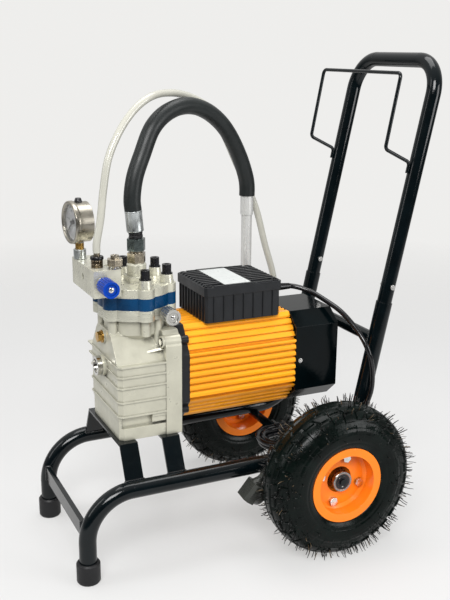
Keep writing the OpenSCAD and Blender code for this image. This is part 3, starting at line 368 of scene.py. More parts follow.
def make_materials():
    """Every finish by its name. Colours are linear."""
    made = {}

    def add(name, *args, **more):
        made[name] = finish(name, *args, **more)

    # In the finishes below, the corner darkening is painted shade and the edge paleness is partly a
    # painted highlight.
    add("black_powder_coat", (0.0015, 0.0035, 0.0045), 0.11, tint=0.25, swing=0.04, grain=0.00006,
        grain_scale=380, edge=0.001, Specular_IOR_Level=0.32)
    add("foot_rubber", (0.008, 0.008, 0.009), 0.5, grain=0.0001, grain_scale=1500, edge=0.0015,
        Specular_IOR_Level=0.35)
    add("dark_steel", (0.025, 0.025, 0.028), 0.34, metal=0.7, tint=0.3, edge=0.0006, wear=0.5)
    add("zinc", (0.72, 0.71, 0.69), 0.22, metal=1.0, tint=0.18, tint_scale=120, swing=0.1,
        edge=0.0006, crevice=0.6)
    add("tyre_rubber", (0.0022, 0.0045, 0.0037), 0.22, tint=0.4, tint_scale=45, swing=0.12,
        grain=0.0002, grain_scale=420, spots=((0.018, 0.021, 0.017), 170, 0.02),
        Specular_IOR_Level=0.13)
    add("tyre_hair", (0.004, 0.004, 0.0035), 0.3, tint=0.5, tint_scale=120, Specular_IOR_Level=0.4)
    # Pale brown hairs: a painted glint of light on glossy hairs.
    add("tyre_hair_tan", (0.09, 0.062, 0.034), 0.4, tint=0.5, tint_scale=120)
    add("rim_orange", (1.0, 0.225, 0.011), 0.22, tint=0.05, swing=0.05, grain=0.00006,
        grain_scale=160, edge=0.001, crevice=0.35, Specular_IOR_Level=0.35)
    add("bearing_steel", (0.16, 0.165, 0.18), 0.28, metal=0.9, tint=0.3, tint_scale=90, edge=0.0004,
        wear=0.6)
    add("seal_black", (0.006, 0.006, 0.007), 0.35)
    add("motor_orange", (1.0, 0.36, 0.01), 0.34, tint=0.1, tint_scale=24, swing=0.1,
        stretch=(0.25, 1, 1), grain=0.00006, grain_scale=700, edge=0.0006, wear=0.3, crevice=0.34,
        Specular_IOR_Level=0.4)
    add("core_steel", (0.2, 0.2, 0.22), 0.5, metal=1.0, stretch=(30, 1, 1))
    add("black_casting", (0.006, 0.0065, 0.008), 0.34, tint=0.3, grain=0.00012, grain_scale=600,
        edge=0.001, Specular_IOR_Level=0.35)
    add("cover_black", (0.0008, 0.0026, 0.0032), 0.12, tint=0.2, swing=0.04, grain=0.00003,
        grain_scale=300, edge=0.0014, Specular_IOR_Level=0.13)
    add("ground_steel", (0.5, 0.5, 0.52), 0.25, metal=1.0, edge=0.0004)
    add("fan_plastic", (0.02, 0.02, 0.022), 0.5, edge=0.0006)
    add("box_black", (0.008, 0.0092, 0.011), 0.38, tint=0.2, swing=0.08, grain=0.00008,
        grain_scale=1100, edge=0.0009, wear=0.12, crevice=0.6, Specular_IOR_Level=0.4)
    add("rocker_red", (0.45, 0.015, 0.01), 0.25, edge=0.0006)
    add("gear_case_silver", (0.52, 0.505, 0.41), 0.36, metal=0.3, tint=0.08, tint_scale=28,
        swing=0.1, grain=0.00014, grain_scale=620, spots=((0.4, 0.38, 0.31), 210, 0.01),
        edge=0.0011, wear=0.4, crevice=0.8, reach=0.008, Specular_IOR_Level=0.5)
    add("brass", (0.6, 0.36, 0.1), 0.28, metal=1.0, tint=0.2, tint_scale=90, edge=0.0005, wear=0.4,
        spots=((0.2, 0.11, 0.03), 260, 0.06), crevice=0.6)
    add("chrome", (0.62, 0.61, 0.58), 0.16, metal=1.0, swing=0.05, edge=0.0006, crevice=0.5)
    add("case_steel", (0.38, 0.355, 0.3), 0.3, metal=1.0, tint=0.1, swing=0.05, grain=0.00002,
        grain_scale=300, edge=0.0008)
    add("machined_alloy", (0.57, 0.56, 0.465), 0.32, metal=0.45, tint=0.08, swing=0.1,
        stretch=(1, 1, 6), grain=0.00005, grain_scale=700, edge=0.0007, wear=0.25, crevice=0.7,
        reach=0.008)
    add("diaphragm_rubber", (0.03, 0.03, 0.032), 0.5)
    add("plate_blue", (0.0005, 0.037, 0.108), 0.26, tint=0.15, tint_scale=40, swing=0.1,
        grain=0.00006, grain_scale=800, edge=0.0008, wear=0.08, Specular_IOR_Level=0.2)
    add("head_nickel", (0.62, 0.605, 0.5), 0.3, metal=0.5, tint=0.1, tint_scale=36, swing=0.1,
        grain=0.00009, grain_scale=480, edge=0.0009, wear=0.25, crevice=0.7, reach=0.009)
    add("black_oxide", (0.008, 0.008, 0.01), 0.26, metal=0.3, tint=0.4, tint_scale=200, edge=0.0005,
        wear=0.3)
    add("fitting_nickel", (0.5, 0.44, 0.34), 0.26, metal=1.0, tint=0.2, tint_scale=110, edge=0.0006,
        wear=0.4, crevice=0.6, spots=((0.2, 0.15, 0.09), 300, 0.06))
    add("fitting_dark", (0.24, 0.19, 0.13), 0.24, metal=1.0, tint=0.3, tint_scale=150, edge=0.0005,
        wear=0.6, crevice=0.6)
    add("knob_blue", (0.0005, 0.042, 0.34), 0.22, tint=0.1, swing=0.05, edge=0.0004, crevice=0.85,
        reach=0.005, Specular_IOR_Level=0.2)
    add("knob_alloy", (0.62, 0.61, 0.57), 0.22, metal=0.9, tint=0.12, swing=0.08, edge=0.0004,
        wear=0.3, crevice=0.75, reach=0.004)
    add("needle_black", (0.01, 0.01, 0.01), 0.4)
    add("coupling_steel", (0.15, 0.18, 0.175), 0.24, metal=0.9, tint=0.25, tint_scale=60, swing=0.1,
        edge=0.0007, wear=0.5, crevice=0.6)
    add("ferrule_zinc", (0.6, 0.63, 0.63), 0.3, metal=1.0, tint=0.18, tint_scale=90, swing=0.1,
        stretch=(1, 1, 0.3), edge=0.0005, spots=((0.4, 0.41, 0.41), 160, 0.03))
    add("hub_steel", (0.3, 0.29, 0.28), 0.24, metal=1.0, tint=0.2, tint_scale=120, swing=0.1,
        edge=0.0004, wear=0.4)
    add("weld_black", (0.004, 0.005, 0.006), 0.2, tint=0.3, swing=0.08, grain=0.0001,
        grain_scale=900)
    add("pipe_steel", (0.72, 0.715, 0.69), 0.3, metal=0.5, tint=0.1, stretch=(1, 1, 0.1),
        edge=0.0006)
    add("hose_rubber", (0.008, 0.0105, 0.0105), 0.42, tint=0.2, swing=0.05, Specular_IOR_Level=0.4)
    add("hose_milky", (0.46, 0.45, 0.39), 0.2, tint=0.05, swing=0.05, Coat_Weight=0.3)
    add("cord_rubber", (0.004, 0.004, 0.005), 0.17, tint=0.3, swing=0.05)
    add("plug_plastic", (0.03, 0.032, 0.027), 0.34, tint=0.25, grain=0.00006, grain_scale=1200,
        edge=0.001, wear=0.2, crevice=0.5, reach=0.006)
    add("dial_white", (0.8, 0.81, 0.82), 0.45, tint=0.02)
    add("dial_ink", (0.012, 0.012, 0.014), 0.5)
    add("label_white", (0.6, 0.62, 0.6), 0.34, tint=0.04, tint_scale=60,
        spots=((0.5, 0.51, 0.5), 90, 0.02))
    add("lens_glass", (1, 1, 1), 0.03, tint=0, swing=0.01, Transmission_Weight=1.0, IOR=1.45)
    return made


CAD_FINISH = {
    "black_powder_coat": "side_tube_left side_tube_right front_brace cross_tube pump_saddles handle"
                         " hose_hook axle",
    "foot_rubber": "foot_caps",
    "dark_steel": "axle_clips",
    "zinc": "handle_bolts rim_bolts_left rim_bolts_right case_screws",
    "rim_orange": "rim_left rim_right wheel_hub_left wheel_hub_right",
    "bearing_steel": "wheel_bearings_left wheel_bearings_right motor_bearings",
    "motor_orange": "motor_housing",
    "core_steel": "stator_core rotor_core",
    "black_casting": "motor_front_plate motor_rear_plate",
    "cover_black": "fan_cover",
    "ground_steel": "motor_shaft eccentric piston",
    "fan_plastic": "fan",
    "box_black": "box_base box_lid cable_gland",
    "rocker_red": "switch_rocker",
    "gear_case_silver": "gear_housing",
    "brass": "oil_plug gauge_stem",
    "chrome": "sight_glass",
    "case_steel": "gauge_case",
    "machined_alloy": "hydraulic_flange",
    "diaphragm_rubber": "diaphragm",
    "plate_blue": "pump_plate",
    "head_nickel": "upper_head",
    "black_oxide": "head_bolts pressure_valve",
    "fitting_nickel": "head_fittings",
    "knob_blue": "prime_knob",
    "knob_alloy": "pressure_knob",
    "needle_black": "gauge_needle",
    "coupling_steel": "hose_coupling",
    "pipe_steel": "suction_pipe",
    "plug_plastic": "plug",
}


def dress_cad_nodes():
    for name, members in CAD_FINISH.items():
        for node in members.split():
            slots = nodes[node].data.materials
            slots.clear()
            slots.append(paint[name])


# --- Hoses and the cord --------------------------------------------------------

SUCTION_ROUTE = [
    (-281, 0, 565.8), (-282.4, 0, 581.8), (-277, 2, 616), (-262, 7, 652), (-240, 15, 694),
    (-211, 26, 716), (-172, 40, 725), (-132, 55, 716), (-91, 70, 688), (-56, 84, 640),
    (-36, 91, 594), (-33, 92, 576), (-33, 92, 562)]
RETURN_ROUTE = [
    (-352, -29, 509), (-352, -29, 521), (-344, -27, 559), (-337, -24, 605), (-327, -20, 650),
    (-313, -15, 679), (-294, -7, 705), (-271, 1, 727), (-246, 10, 741), (-208, 34, 746),
    (-155, 66, 738), (-110, 84, 716), (-75, 104, 672), (-42, 113, 612), (-7, 111, 540),
    (16, 112, 464), (36, 114, 402), (46, 117, 338), (48, 119, 270), (46, 119, 215)]
CORD_ROUTE = [(-16, 0, 413), (-5, 0, 413), (8, -1, 412.5), (22, -8, 410), (38, -23, 404),
              (53, -49, 393), (66, -79, 379.5), (77, -108, 358), (83, -128, 339), (88, -138.5, 319),
              (93, -140.8, 297), (96, -140.8, 273), (94.5, -140.8, 251), (88, -140.8, 232),
              (79, -140.8, 213), (66, -140.8, 194), (49, -139.5, 178), (30, -135, 167.5),
              (11, -125.5, 164.5), (-7, -114, 163.3), (-20, -105.5, 160.3), (-30, -100, 156.5)]
LEAD_ROUTE = [
    (-46, -97.5, 144.5), (-56.5, -98.5, 149.5), (-66, -102, 156.5), (-74, -107.5, 162.5),
    (-81, -114.5, 166.5), (-87.5, -122, 167.5), (-93.5, -129.5, 165), (-98, -135.5, 159.5),
    (-100.8, -138.8, 152.5), (-102, -139.8, 144.5)]
SUCTION_D, RETURN_D, CORD_D = 28, 12, 9


def hank_points():
    """The hank's centre line: long loops that wind inward on the upper layer, drop where they
    turn back, and wind outward on the lower one. Each turn is two arcs and two short runs."""
    centre, run, outer, pitch, layer, height = (0, -50), 53, 47, 10, 9.6, 142.5
    steps = 24
    arc_share, run_share = 10 / steps, 2 / steps
    reversal = 2 + run_share / 2
    turns = 4 + run_share
    inner = outer - pitch * reversal
    points = []
    for i in range(3, round(steps * turns) + 1):
        u = i / steps
        radius = inner + pitch * abs(u - reversal)
        drop = min(1.0, max(0.0, (u - 2) / run_share))
        share = (u + arc_share) % 1
        side = 1 if share < 0.5 else -1
        part = share % 0.5
        on_arc = part < arc_share
        angle = math.radians(-90 * side + (part / arc_share * 180 if on_arc else 180))
        slide = side if on_arc else side * (1 - 2 * (part - arc_share) / run_share)
        points.append((centre[0] + slide * run / 2 + radius * math.cos(angle),
                       centre[1] - radius * math.sin(angle), height + layer * (1 - drop)))
    end = points[-1]
    return points + [(end[0] - CORD_D, end[1], end[2])]


def smoothed(route, step=3.0):
    """Points about step millimetres apart on one smooth curve through the route's points."""
    points = [np.array(p, float) for p in route]
    padded = [2 * points[0] - points[1]] + points + [2 * points[-1] - points[-2]]
    out = [points[0]]
    for i in range(1, len(padded) - 2):
        a, b, c, d = padded[i - 1:i + 3]
        gaps = [max(1e-6, np.linalg.norm(q - p)) ** 0.5 for p, q in ((a, b), (b, c), (c, d))]
        m1 = (c - b) + gaps[1] * ((b - a) / gaps[0] - (c - a) / (gaps[0] + gaps[1]))
        m2 = (c - b) + gaps[1] * ((d - c) / gaps[2] - (d - b) / (gaps[1] + gaps[2]))
        count = max(1, round(float(np.linalg.norm(c - b)) / step))
        for k in range(1, count + 1):
            t = k / count
            out.append((2 * t ** 3 - 3 * t ** 2 + 1) * b + (t ** 3 - 2 * t ** 2 + t) * m1
                       + (3 * t ** 2 - 2 * t ** 3) * c + (t ** 3 - t ** 2) * m2)
    return out


def tube_curve(name, points, diameter, material):
    data = bpy.data.curves.new(name, "CURVE")
    data.dimensions = "3D"
    data.bevel_depth = diameter / 2 * MM
    data.bevel_resolution = 5
    data.use_fill_caps = True
    spline = data.splines.new("POLY")
    spline.points.add(len(points) - 1)
    for target, point in zip(spline.points, points):
        target.co = (*at(*point), 1)
    spline.use_smooth = True
    data.materials.append(material)
    return add_object(name, data)


def make_suction_hose():
    line = smoothed(SUCTION_ROUTE)
    hose = tube_curve("suction_hose_skin", line, SUCTION_D, paint["hose_rubber"])
    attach(hose, "cart")
    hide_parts("suction_hose")


def make_return_hose():
    line = smoothed(RETURN_ROUTE)
    hose = tube_curve("return_hose_skin", line, RETURN_D, paint["hose_milky"])
    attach(hose, "cart")
    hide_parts("return_hose")


def make_power_cord():
    line = smoothed(CORD_ROUTE + hank_points() + LEAD_ROUTE)
    cord = tube_curve("power_cord_skin", line, CORD_D, paint["cord_rubber"])
    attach(cord, "cart")
    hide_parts("power_cord", "cord_coil", "plug_lead")
    make_hank_tie()
    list(make_plug_pieces())
    ribs = [(0.2, 6.6)]
    for k in range(6):
        top = 6.7 - 0.25 * k
        ribs += [(0.2 + 4 * k, top), (2.6 + 4 * k, top - 0.15), (2.8 + 4 * k, top - 0.9),
                 (4.0 + 4 * k, top - 0.95)]
    turned_piece("cord_relief", ribs + [(24.6, 4.2)], "cord_rubber", "cart",
                 at(-16, 0, 413), Vector((24, -1, -0.5)).normalized(), 32)


# --- Tyres ---------------------------------------------------------------------

TYRE_HALF_W = (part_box("tyre_left")[1].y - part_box("tyre_left")[0].y) / 2
TYRE_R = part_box("tyre_left")[1].z - AXLE.z
TYRE_CORE_R = TYRE_R - 0.0395
TYRE_SQUARE = 2.4
BEAD_Y = 0.0324
BEAD_R = 0.0646
BLOCKS = 34
GROOVE = 0.0026
TREAD_R_MM = 126
# Place from the tread's middle and width in millimetres, and depth in metres
SIDEWALL_RINGS = ((56, 1.2, 0.0008), (63, 0.9, 0.0005), (80, 1.4, 0.0008))
# Kind, seed, hairs a tyre and finish. The second kind's pale brown colour is a painted glint of
# light on glossy hairs.
HAIRS = (("dark", 7, 620, "tyre_hair"), ("tan", 23, 110, "tyre_hair_tan"))


def wheel_middle(side):
    return Vector((AXLE.x, box_centre("tyre_left").y * -side, AXLE.z))


def tyre_profile(count):
    """(y, radius) points over the tyre from bead to bead, evenly spaced along it."""
    dense = []
    for i in range(801):
        t = math.radians(-127 + 254 * i / 800)
        c, s = math.cos(t), math.sin(t)
        r = TYRE_CORE_R + (TYRE_R - TYRE_CORE_R) * math.copysign(abs(c) ** (2 / TYRE_SQUARE), c)
        y = TYRE_HALF_W * math.copysign(abs(s) ** (2 / TYRE_SQUARE), s)
        if r >= BEAD_R:
            dense.append((y, r))
    dense = np.array([(-BEAD_Y, BEAD_R)] + dense + [(BEAD_Y, BEAD_R)])
    along = np.concatenate([[0], np.cumsum(np.linalg.norm(np.diff(dense, axis=0), axis=1))])
    wanted = np.linspace(0, along[-1], count)
    profile = np.stack([np.interp(wanted, along, dense[:, k]) for k in (0, 1)], axis=1)
    return profile, wanted - along[-1] / 2


def soft_step(x):
    x = np.clip(x, 0, 1)
    return x * x * (3 - 2 * x)


def band(distance, half_width, edge=0.8):
    """1 inside a band, falling to 0 over the edge. All in millimetres."""
    return 1 - soft_step((np.abs(distance) - half_width) / edge)


def beyond(distance, edge=1.2):
    """0 before a line and 1 past it, in millimetres."""
    return soft_step(distance / edge)


def tread_depth(turn, out):
    """How deep the tread lies, from 0 on top of a lug to 1 in a groove.

    turn counts half pitches round the tyre, and out is the distance across the tread in
    millimetres from its middle, positive outward. The lugs of one half sit between those of the
    other.
    """
    pitch_mm = 2 * math.pi * TREAD_R_MM / BLOCKS
    a = np.abs(out)
    part = (turn + (out < 0)) % 2
    stagger = np.where(part < 1, 3.0, -3.0)
    zigzag = 6 * np.abs(part - 1) - 3
    rings = np.maximum(band(a - 9, 2.0), band(a - 24.5 - stagger, 1.5))
    wide = band(np.minimum(part, 2 - part) * pitch_mm, 2.8) * beyond(a - 13)
    slant = band((part - 1) * pitch_mm + (a - 18) * 0.55, 1.3)
    slant = slant * beyond(a - 11) * (1 - beyond(a - 24 - stagger))
    middle = band(part * pitch_mm - 12 - a * 0.6, 1.0) * (1 - beyond(a - 7))
    narrow = band((part - 1) * pitch_mm, 1.2) * beyond(a - 26)
    tread = np.maximum.reduce([rings, wide, slant, middle * 0.7, narrow * 0.8])
    shoulder = 41 + 1.6 * stagger / 3 + 0.2 * zigzag
    fall = beyond(a - shoulder, 0.9) * (1 - soft_step((a - shoulder - 9) / 14))
    return np.maximum(tread * (1 - beyond(a - shoulder)), fall * 0.95)


def make_tyre(name, side):
    """One closed skin: the outline with its tread cut in, the side walls' rings, and the bead."""
    turns, count = 17 * 40, 120
    profile, across = tyre_profile(count)
    out_mm = across / MM * side
    slope = np.gradient(profile, axis=0)
    normal = np.stack([-slope[:, 1], slope[:, 0]], axis=1)
    normal /= np.linalg.norm(normal, axis=1)[:, None]
    normal *= np.sign((normal * (profile - [0, TYRE_CORE_R])).sum(1))[:, None]
    middle = wheel_middle(side)
    ring = sidewall_rings(np.abs(out_mm))
    inner_r = BEAD_R - 0.011
    lip = [(BEAD_Y, inner_r), (-BEAD_Y, inner_r)]
    points = []
    for i in range(turns):
        angle = 2 * math.pi * i / turns
        depth = GROOVE * tread_depth(np.full(count, BLOCKS * i / turns), out_mm) + ring
        rim = np.concatenate([profile - normal * depth[:, None], lip])
        points.append(np.stack([middle.x + rim[:, 1] * math.cos(angle), middle.y + rim[:, 0],
                                middle.z + rim[:, 1] * math.sin(angle)], axis=1))
    total = count + len(lip)
    faces = []
    for i in range(turns):
        n = (i + 1) % turns
        for j in range(total):
            k = (j + 1) % total
            faces.append((i * total + j, i * total + k, n * total + k, n * total + j))
    tyre = mesh_object(name, np.concatenate(points), faces, paint["tyre_rubber"])
    tyre.data.set_sharp_from_angle(angle=math.radians(38))
    return tyre


def sidewall_rings(a):
    """Shallow moulded rings on the side walls, as depths in metres."""
    depth = np.zeros_like(a)
    for place, width, height in SIDEWALL_RINGS:
        depth += height * np.exp(-((a - place) / width) ** 2)
    return depth


def make_hairs(name, side, seed, count, material):
    """The blunt rubber hairs that moulding leaves on a new tyre, most of them on its shoulders."""
    rng = random.Random(seed)
    profile, across = tyre_profile(201)
    middle = wheel_middle(side)
    points, faces = [], []
    floor_gap, root_depth, bead_gap, past_side = 0.0015, 0.0012, 0.014, 0.009
    shoulder_depth = 0.022

    def jitter():
        return Vector([rng.uniform(-1, 1) for _ in range(3)])

    for _ in range(count):
        place = rng.random()
        s = rng.gauss(0, 0.055) if place < 0.3 else rng.choice((-1, 1)) * rng.gauss(0.036, 0.008)
        j = min(max(int(np.argmin(np.abs(across - s))), 2), 198)
        y, r = profile[j]
        slope = profile[j + 1] - profile[j - 1]
        out = np.array([-slope[1], slope[0]]) / np.linalg.norm(slope)
        if (out * (profile[j] - [0, TYRE_CORE_R])).sum() < 0:
            out = -out
        angle = rng.uniform(0, 2 * math.pi)
        radial = Vector((math.cos(angle), 0, math.sin(angle)))
        foot = middle + radial * (r - root_depth) + Vector((0, y, 0))
        aim = (radial * (out[1] + 0.25) + Vector((0, out[0], 0)) + jitter() * 0.3).normalized()
        on_tread = r > TYRE_R - shoulder_depth
        length = rng.uniform(0.006, 0.017) if on_tread else rng.uniform(0.003, 0.007)
        tip = foot + aim * length
        bend = foot + aim * length * 0.55 + jitter() * 0.0012
        if (r < BEAD_R + bead_gap or abs(tip.y - middle.y) > TYRE_HALF_W + past_side
                or foot.z < floor_gap + 0.001):
            continue
        for point in (bend, tip):
            if point.z < floor_gap:
                point.z = floor_gap + 0.0004
        add_hair(points, faces, (foot, bend, tip), rng.uniform(0.0005, 0.0008))
    return mesh_object(name, points, faces, paint[material])


def add_hair(points, faces, line, radius):
    """A bent rod of four sides with a blunt end."""
    sides = 4
    aim = (line[2] - line[0]).normalized()
    side = aim.orthogonal().normalized()
    other = aim.cross(side)
    start = len(points)
    for place, width in zip(line, (radius, radius * 0.95, radius * 0.7)):
        for k in range(sides):
            a = 2 * math.pi * k / sides
            points.append(place + (side * math.cos(a) + other * math.sin(a)) * width)
    for ring in (start, start + sides):
        for k in range(sides):
            n = (k + 1) % sides
            faces.append((ring + k, ring + n, ring + sides + n, ring + sides + k))
    faces.append([start + 2 * sides + k for k in range(sides)])
    faces.append([start + k for k in reversed(range(sides))])


def make_tyres():
    for name, side in SIDES.items():
        body = "wheel_" + name
        tyre = make_tyre("tyre_skin_" + name, side)
        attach(tyre, body)
        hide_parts("tyre_" + name)
        for kind, seed, count, material in HAIRS:
            hairs = make_hairs("tyre_hairs_%s_%s" % (kind, name), side, seed + side, count,
                               material)
            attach(hairs, body)


# --- Gauge ---------------------------------------------------------------------

GAUGE_TURN = Matrix.Rotation(math.radians(5), 4, "Z")
GAUGE_PLACE = at(-359, 40, 546)
DIAL_FACE = -8.35
DIAL_START, MARK_STEP, NUMBER_STEP = -135, 5.4, 54
MARK_OUTER_R, MARK_LIFT = 27.6, 0.12


def gauge_point(x, y, z):
    """A point in millimetres from the gauge's middle, x square to its dial and into the case."""
    return GAUGE_PLACE + GAUGE_TURN @ Vector((x * MM, y * MM, z * MM))


def dial_point(turn, radius, lift):
    """A point on the dial: turn in degrees clockwise from the top, lift in front of its face."""
    angle = math.radians(turn)
    return gauge_point(DIAL_FACE - lift, -radius * math.sin(angle), radius * math.cos(angle))


def turned_piece(name, profile, material, body, place=None, axis=None, steps=64):
    """A piece turned from (along, radius) points in millimetres, riding on a body."""
    bm = bmesh.new()
    lathe(bm, [(along * MM, radius * MM) for along, radius in profile],
          place or GAUGE_PLACE, axis or GAUGE_TURN @ Vector((1, 0, 0)), steps)
    piece = from_bmesh(name, bm, paint[material])
    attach(piece, body)
    return piece


def dial_number(value, turn, radius, height):
    """A plain number lying on the dial, as a mesh in place."""
    data = bpy.data.curves.new("number", "FONT")
    data.body = str(value)
    data.size = height * MM
    data.align_x = "CENTER"
    data.align_y = "CENTER"
    data.extrude = 0.04 * MM
    number = add_object("number", data)
    bpy.context.view_layer.update()
    depsgraph = bpy.context.evaluated_depsgraph_get()
    mesh = bpy.data.meshes.new_from_object(number.evaluated_get(depsgraph))
    facing = Matrix(((0, 0, -1), (-1, 0, 0), (0, 1, 0))).to_4x4()
    mesh.transform(Matrix.Translation(dial_point(turn, radius, 0.1)) @ GAUGE_TURN @ facing)
    bpy.data.objects.remove(number)
    return mesh


def make_gauge():
    """Dial with its marks, bezel and lens, the adapter under the case and the plug on top."""
    turned_piece("gauge_dial", [(DIAL_FACE, 0), (DIAL_FACE, 29.6), (-8.05, 29.6), (-8.05, 0)],
                 "dial_white", "cart")
    bm = bmesh.new()
    for step in range(51):
        turn = DIAL_START + step * MARK_STEP
        long_mark, mid_mark = step % 10 == 0, step % 5 == 0
        inner, half = (23.2, 0.42) if long_mark else (24.4, 0.3) if mid_mark else (25.4, 0.17)
        across = math.degrees(half / 26)
        corners = [dial_point(turn + way * across, radius, MARK_LIFT) for way, radius in
                   ((-1, MARK_OUTER_R), (1, MARK_OUTER_R), (1, inner), (-1, inner))]
        slab(bm, corners, 0.1 * MM, GAUGE_TURN @ Vector((1, 0, 0)))
    for mark in range(6):
        bm.from_mesh(dial_number(mark * 10, DIAL_START + mark * NUMBER_STEP, 18.6, 5.4))
    marks = from_bmesh("gauge_marks", bm, paint["dial_ink"])
    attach(marks, "cart")
    turned_piece("gauge_bezel", [(-15.4, 29.4), (-16.6, 30.2), (-17.2, 31.6), (-16.9, 33.2),
                                 (-15.6, 34.4), (-13, 34.7), (-9.5, 34.7), (-8.6, 34.1),
                                 (-8.6, 33.2), (-14.6, 33.2), (-14.6, 29.4), (-15.4, 29.4)],
                 "case_steel", "cart", steps=96)
    turned_piece("gauge_lens", [(-15.3, 0), (-15.2, 20), (-14.8, 29.3), (-13.6, 29.3), (-13.6, 0)],
                 "lens_glass", "cart", steps=96)
    turned_piece("gauge_adapter", [(0.3, 0), (0.3, 10.2), (15.4, 10.2), (16.2, 9.6), (16.2, 7.6)],
                 "ferrule_zinc", "cart", at(-359, 40, 486), Vector((0, 0, 1)))
    turned_piece("gauge_plug", [(30.5, 0), (30.5, 6.2), (33.6, 6.2), (35.2, 5.6), (38.3, 4.6),
                                (38.6, 4.2), (38.6, 0)], "seal_black", "cart",
                 GAUGE_PLACE, Vector((0, 0, 1)))


# --- Small pieces --------------------------------------------------------------

def make_coupling():
    """Black collar and crimped ferrule of the suction hose, on the coupling's leaning axis."""
    lean = math.radians(-5)
    axis = Vector((math.sin(lean), 0, math.cos(lean)))
    place = at(-277, 0, 520.5)
    turned_piece("hose_collar", [(0.4, 9.4), (0.4, 10.6), (2.0, 11.4), (5.0, 11.4), (6.2, 10.4),
                                 (7.4, 11.4), (10.2, 11.4), (11.2, 10.4), (11.2, 9.4)],
                 "seal_black", "cart", place, axis)
    bm = bmesh.new()
    turn = axis.to_track_quat("Z", "X").to_matrix().to_4x4()
    where = Matrix.Translation(place) @ turn
    steps, rings = 96, []
    for along, radius, crimp in ((11.6, 12.6, 0), (12.2, 13.7, 0), (13.4, 14.0, 0),
                                 (14.6, 13.8, 0.16), (41.0, 13.8, 0.16), (42.2, 14.1, 0),
                                 (44.6, 14.2, 0), (45.4, 13.6, 0)):
        ring = []
        for k in range(steps):
            angle = 2 * math.pi * k / steps
            r = (radius - crimp * abs(math.cos(4 * angle)) ** 3) * MM
            ring.append(bm.verts.new(where @ Vector((r * math.cos(angle), r * math.sin(angle),
                                                     along * MM))))
        rings.append(ring)
    join_rings(bm, rings, capped=True)
    ferrule = from_bmesh("hose_ferrule", bm, paint["ferrule_zinc"], 30)
    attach(ferrule, "cart")


def make_fittings():
    """Return barrel and collar, the spray outlet's nut and neck, and the screws of both knobs."""
    up = Vector((0, 0, 1))
    turned_piece("return_barrel", [(0.2, 9.3), (5.6, 9.3), (5.9, 8.9), (6.4, 9.3), (11.2, 9.3),
                                   (12.0, 8.9)], "fitting_dark", "cart",
                 at(-352, -29, 486), up, 24)
    turned_piece("return_collar", [(12.2, 6.2), (12.2, 9.9), (13.0, 10.5), (16.4, 10.5),
                                   (17.6, 9.7), (17.6, 6.2)], "black_oxide", "cart",
                 at(-352, -29, 486), up)
    bm = bmesh.new()
    place = at(-329, -47.5, 491)
    turns = [math.radians(12 + 60 * k) for k in range(6)]
    rings = []
    for height, corner_r in ((0, 12.6), (0.8, 13.4), (9.7, 13.4), (10.5, 12.6), (10.5, 7.6),
                             (13.2, 7.4)):
        ring = [Vector((corner_r * math.cos(a), corner_r * math.sin(a), height)) for a in turns]
        rings.append([bm.verts.new(place + corner * MM) for corner in ring])
    join_rings(bm, rings, capped=True)
    nut = from_bmesh("outlet_nut", bm, paint["fitting_nickel"], 20)
    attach(nut, "cart")
    turned_piece("outlet_neck", [(0.1, 10.2), (1.7, 10.2), (2.1, 9.4), (2.1, 9.0), (5.2, 9.0)],
                 "chrome", "cart", at(-329, -47.5, 486), up)
    for name, body, place, size in (("prime_screw", "prime_valve", (-353, -102, 466), 4.2),
                                    ("pressure_screw", "pressure_control", (-250, -92.3, 408.5),
                                     3.6)):
        turned_piece(name, [(-0.4, size), (0.8, size), (1.3, size * 0.8), (1.5, size * 0.4),
                            (0.5, size * 0.34), (0.5, 0)], "zinc", body,
                     at(*place) + Vector((0, 1.5 * MM, 0)), Vector((0, -1, 0)), 40)


def make_seals():
    """Bare steel end of each hub, with its bearing's rings and seal."""
    rings = (("hub_sleeve_", [(-34, 17.1), (-34, 17.35), (-0.3, 17.35), (0.3, 16.8), (0.3, 14.4),
                              (-0.2, 14.1), (-0.6, 14.1)], "hub_steel"),
             ("bearing_seal_", [(-0.6, 9.6), (0.0, 9.8), (0.2, 10.4), (0.2, 12.6), (0.0, 13.4),
                                (-0.6, 13.6)], "seal_black"),
             ("bearing_ring_", [(-0.6, 6.6), (0.3, 6.8), (0.5, 7.2), (0.5, 9.2), (0.2, 9.6),
                                (-0.6, 9.7)], "chrome"))
    for name, side in SIDES.items():
        face = wheel_middle(side) + Vector((0, side * 20 * MM, 0))
        for piece, profile, material in rings:
            turned_piece(piece + name, profile, material, "wheel_" + name, face,
                         Vector((0, side, 0)))


def weld_bead(bm, points):
    """A closed bead with a weld's small steps. Its points, in millimetres, end where they start."""
    sides, radius, ripple, ripple_mm = 8, 1.5, 0.3, 3.4
    line = [at(*p) for p in points]
    rings, run = [], 0.0
    for i, place in enumerate(line[:-1]):
        before = line[i - 1] if i else line[-2]
        aim = (line[i + 1] - before).normalized()
        side = aim.orthogonal().normalized()
        if rings:
            run += (place - before).length / MM
            last = rings[-1][0].co - before
            side = (last - aim * last.dot(aim)).normalized()
        other = aim.cross(side)
        width = radius * (1 + ripple * abs(math.sin(math.pi * run / ripple_mm))) * MM
        rings.append([bm.verts.new(place + (side * math.cos(a) + other * math.sin(a)) * width)
                      for a in np.linspace(0, 2 * math.pi, sides + 1)[:-1]])
    join_rings(bm, rings + rings[:1])


def stepped(corners, step=0.8):
    """Points every step millimetres along straight runs between corners."""
    out = [tuple(corners[0])]
    for a, b in zip(corners, corners[1:]):
        a, b = np.array(a, float), np.array(b, float)
        count = max(1, round(float(np.linalg.norm(b - a)) / step))
        out += [tuple(a + (b - a) * k / count) for k in range(1, count + 1)]
    return out


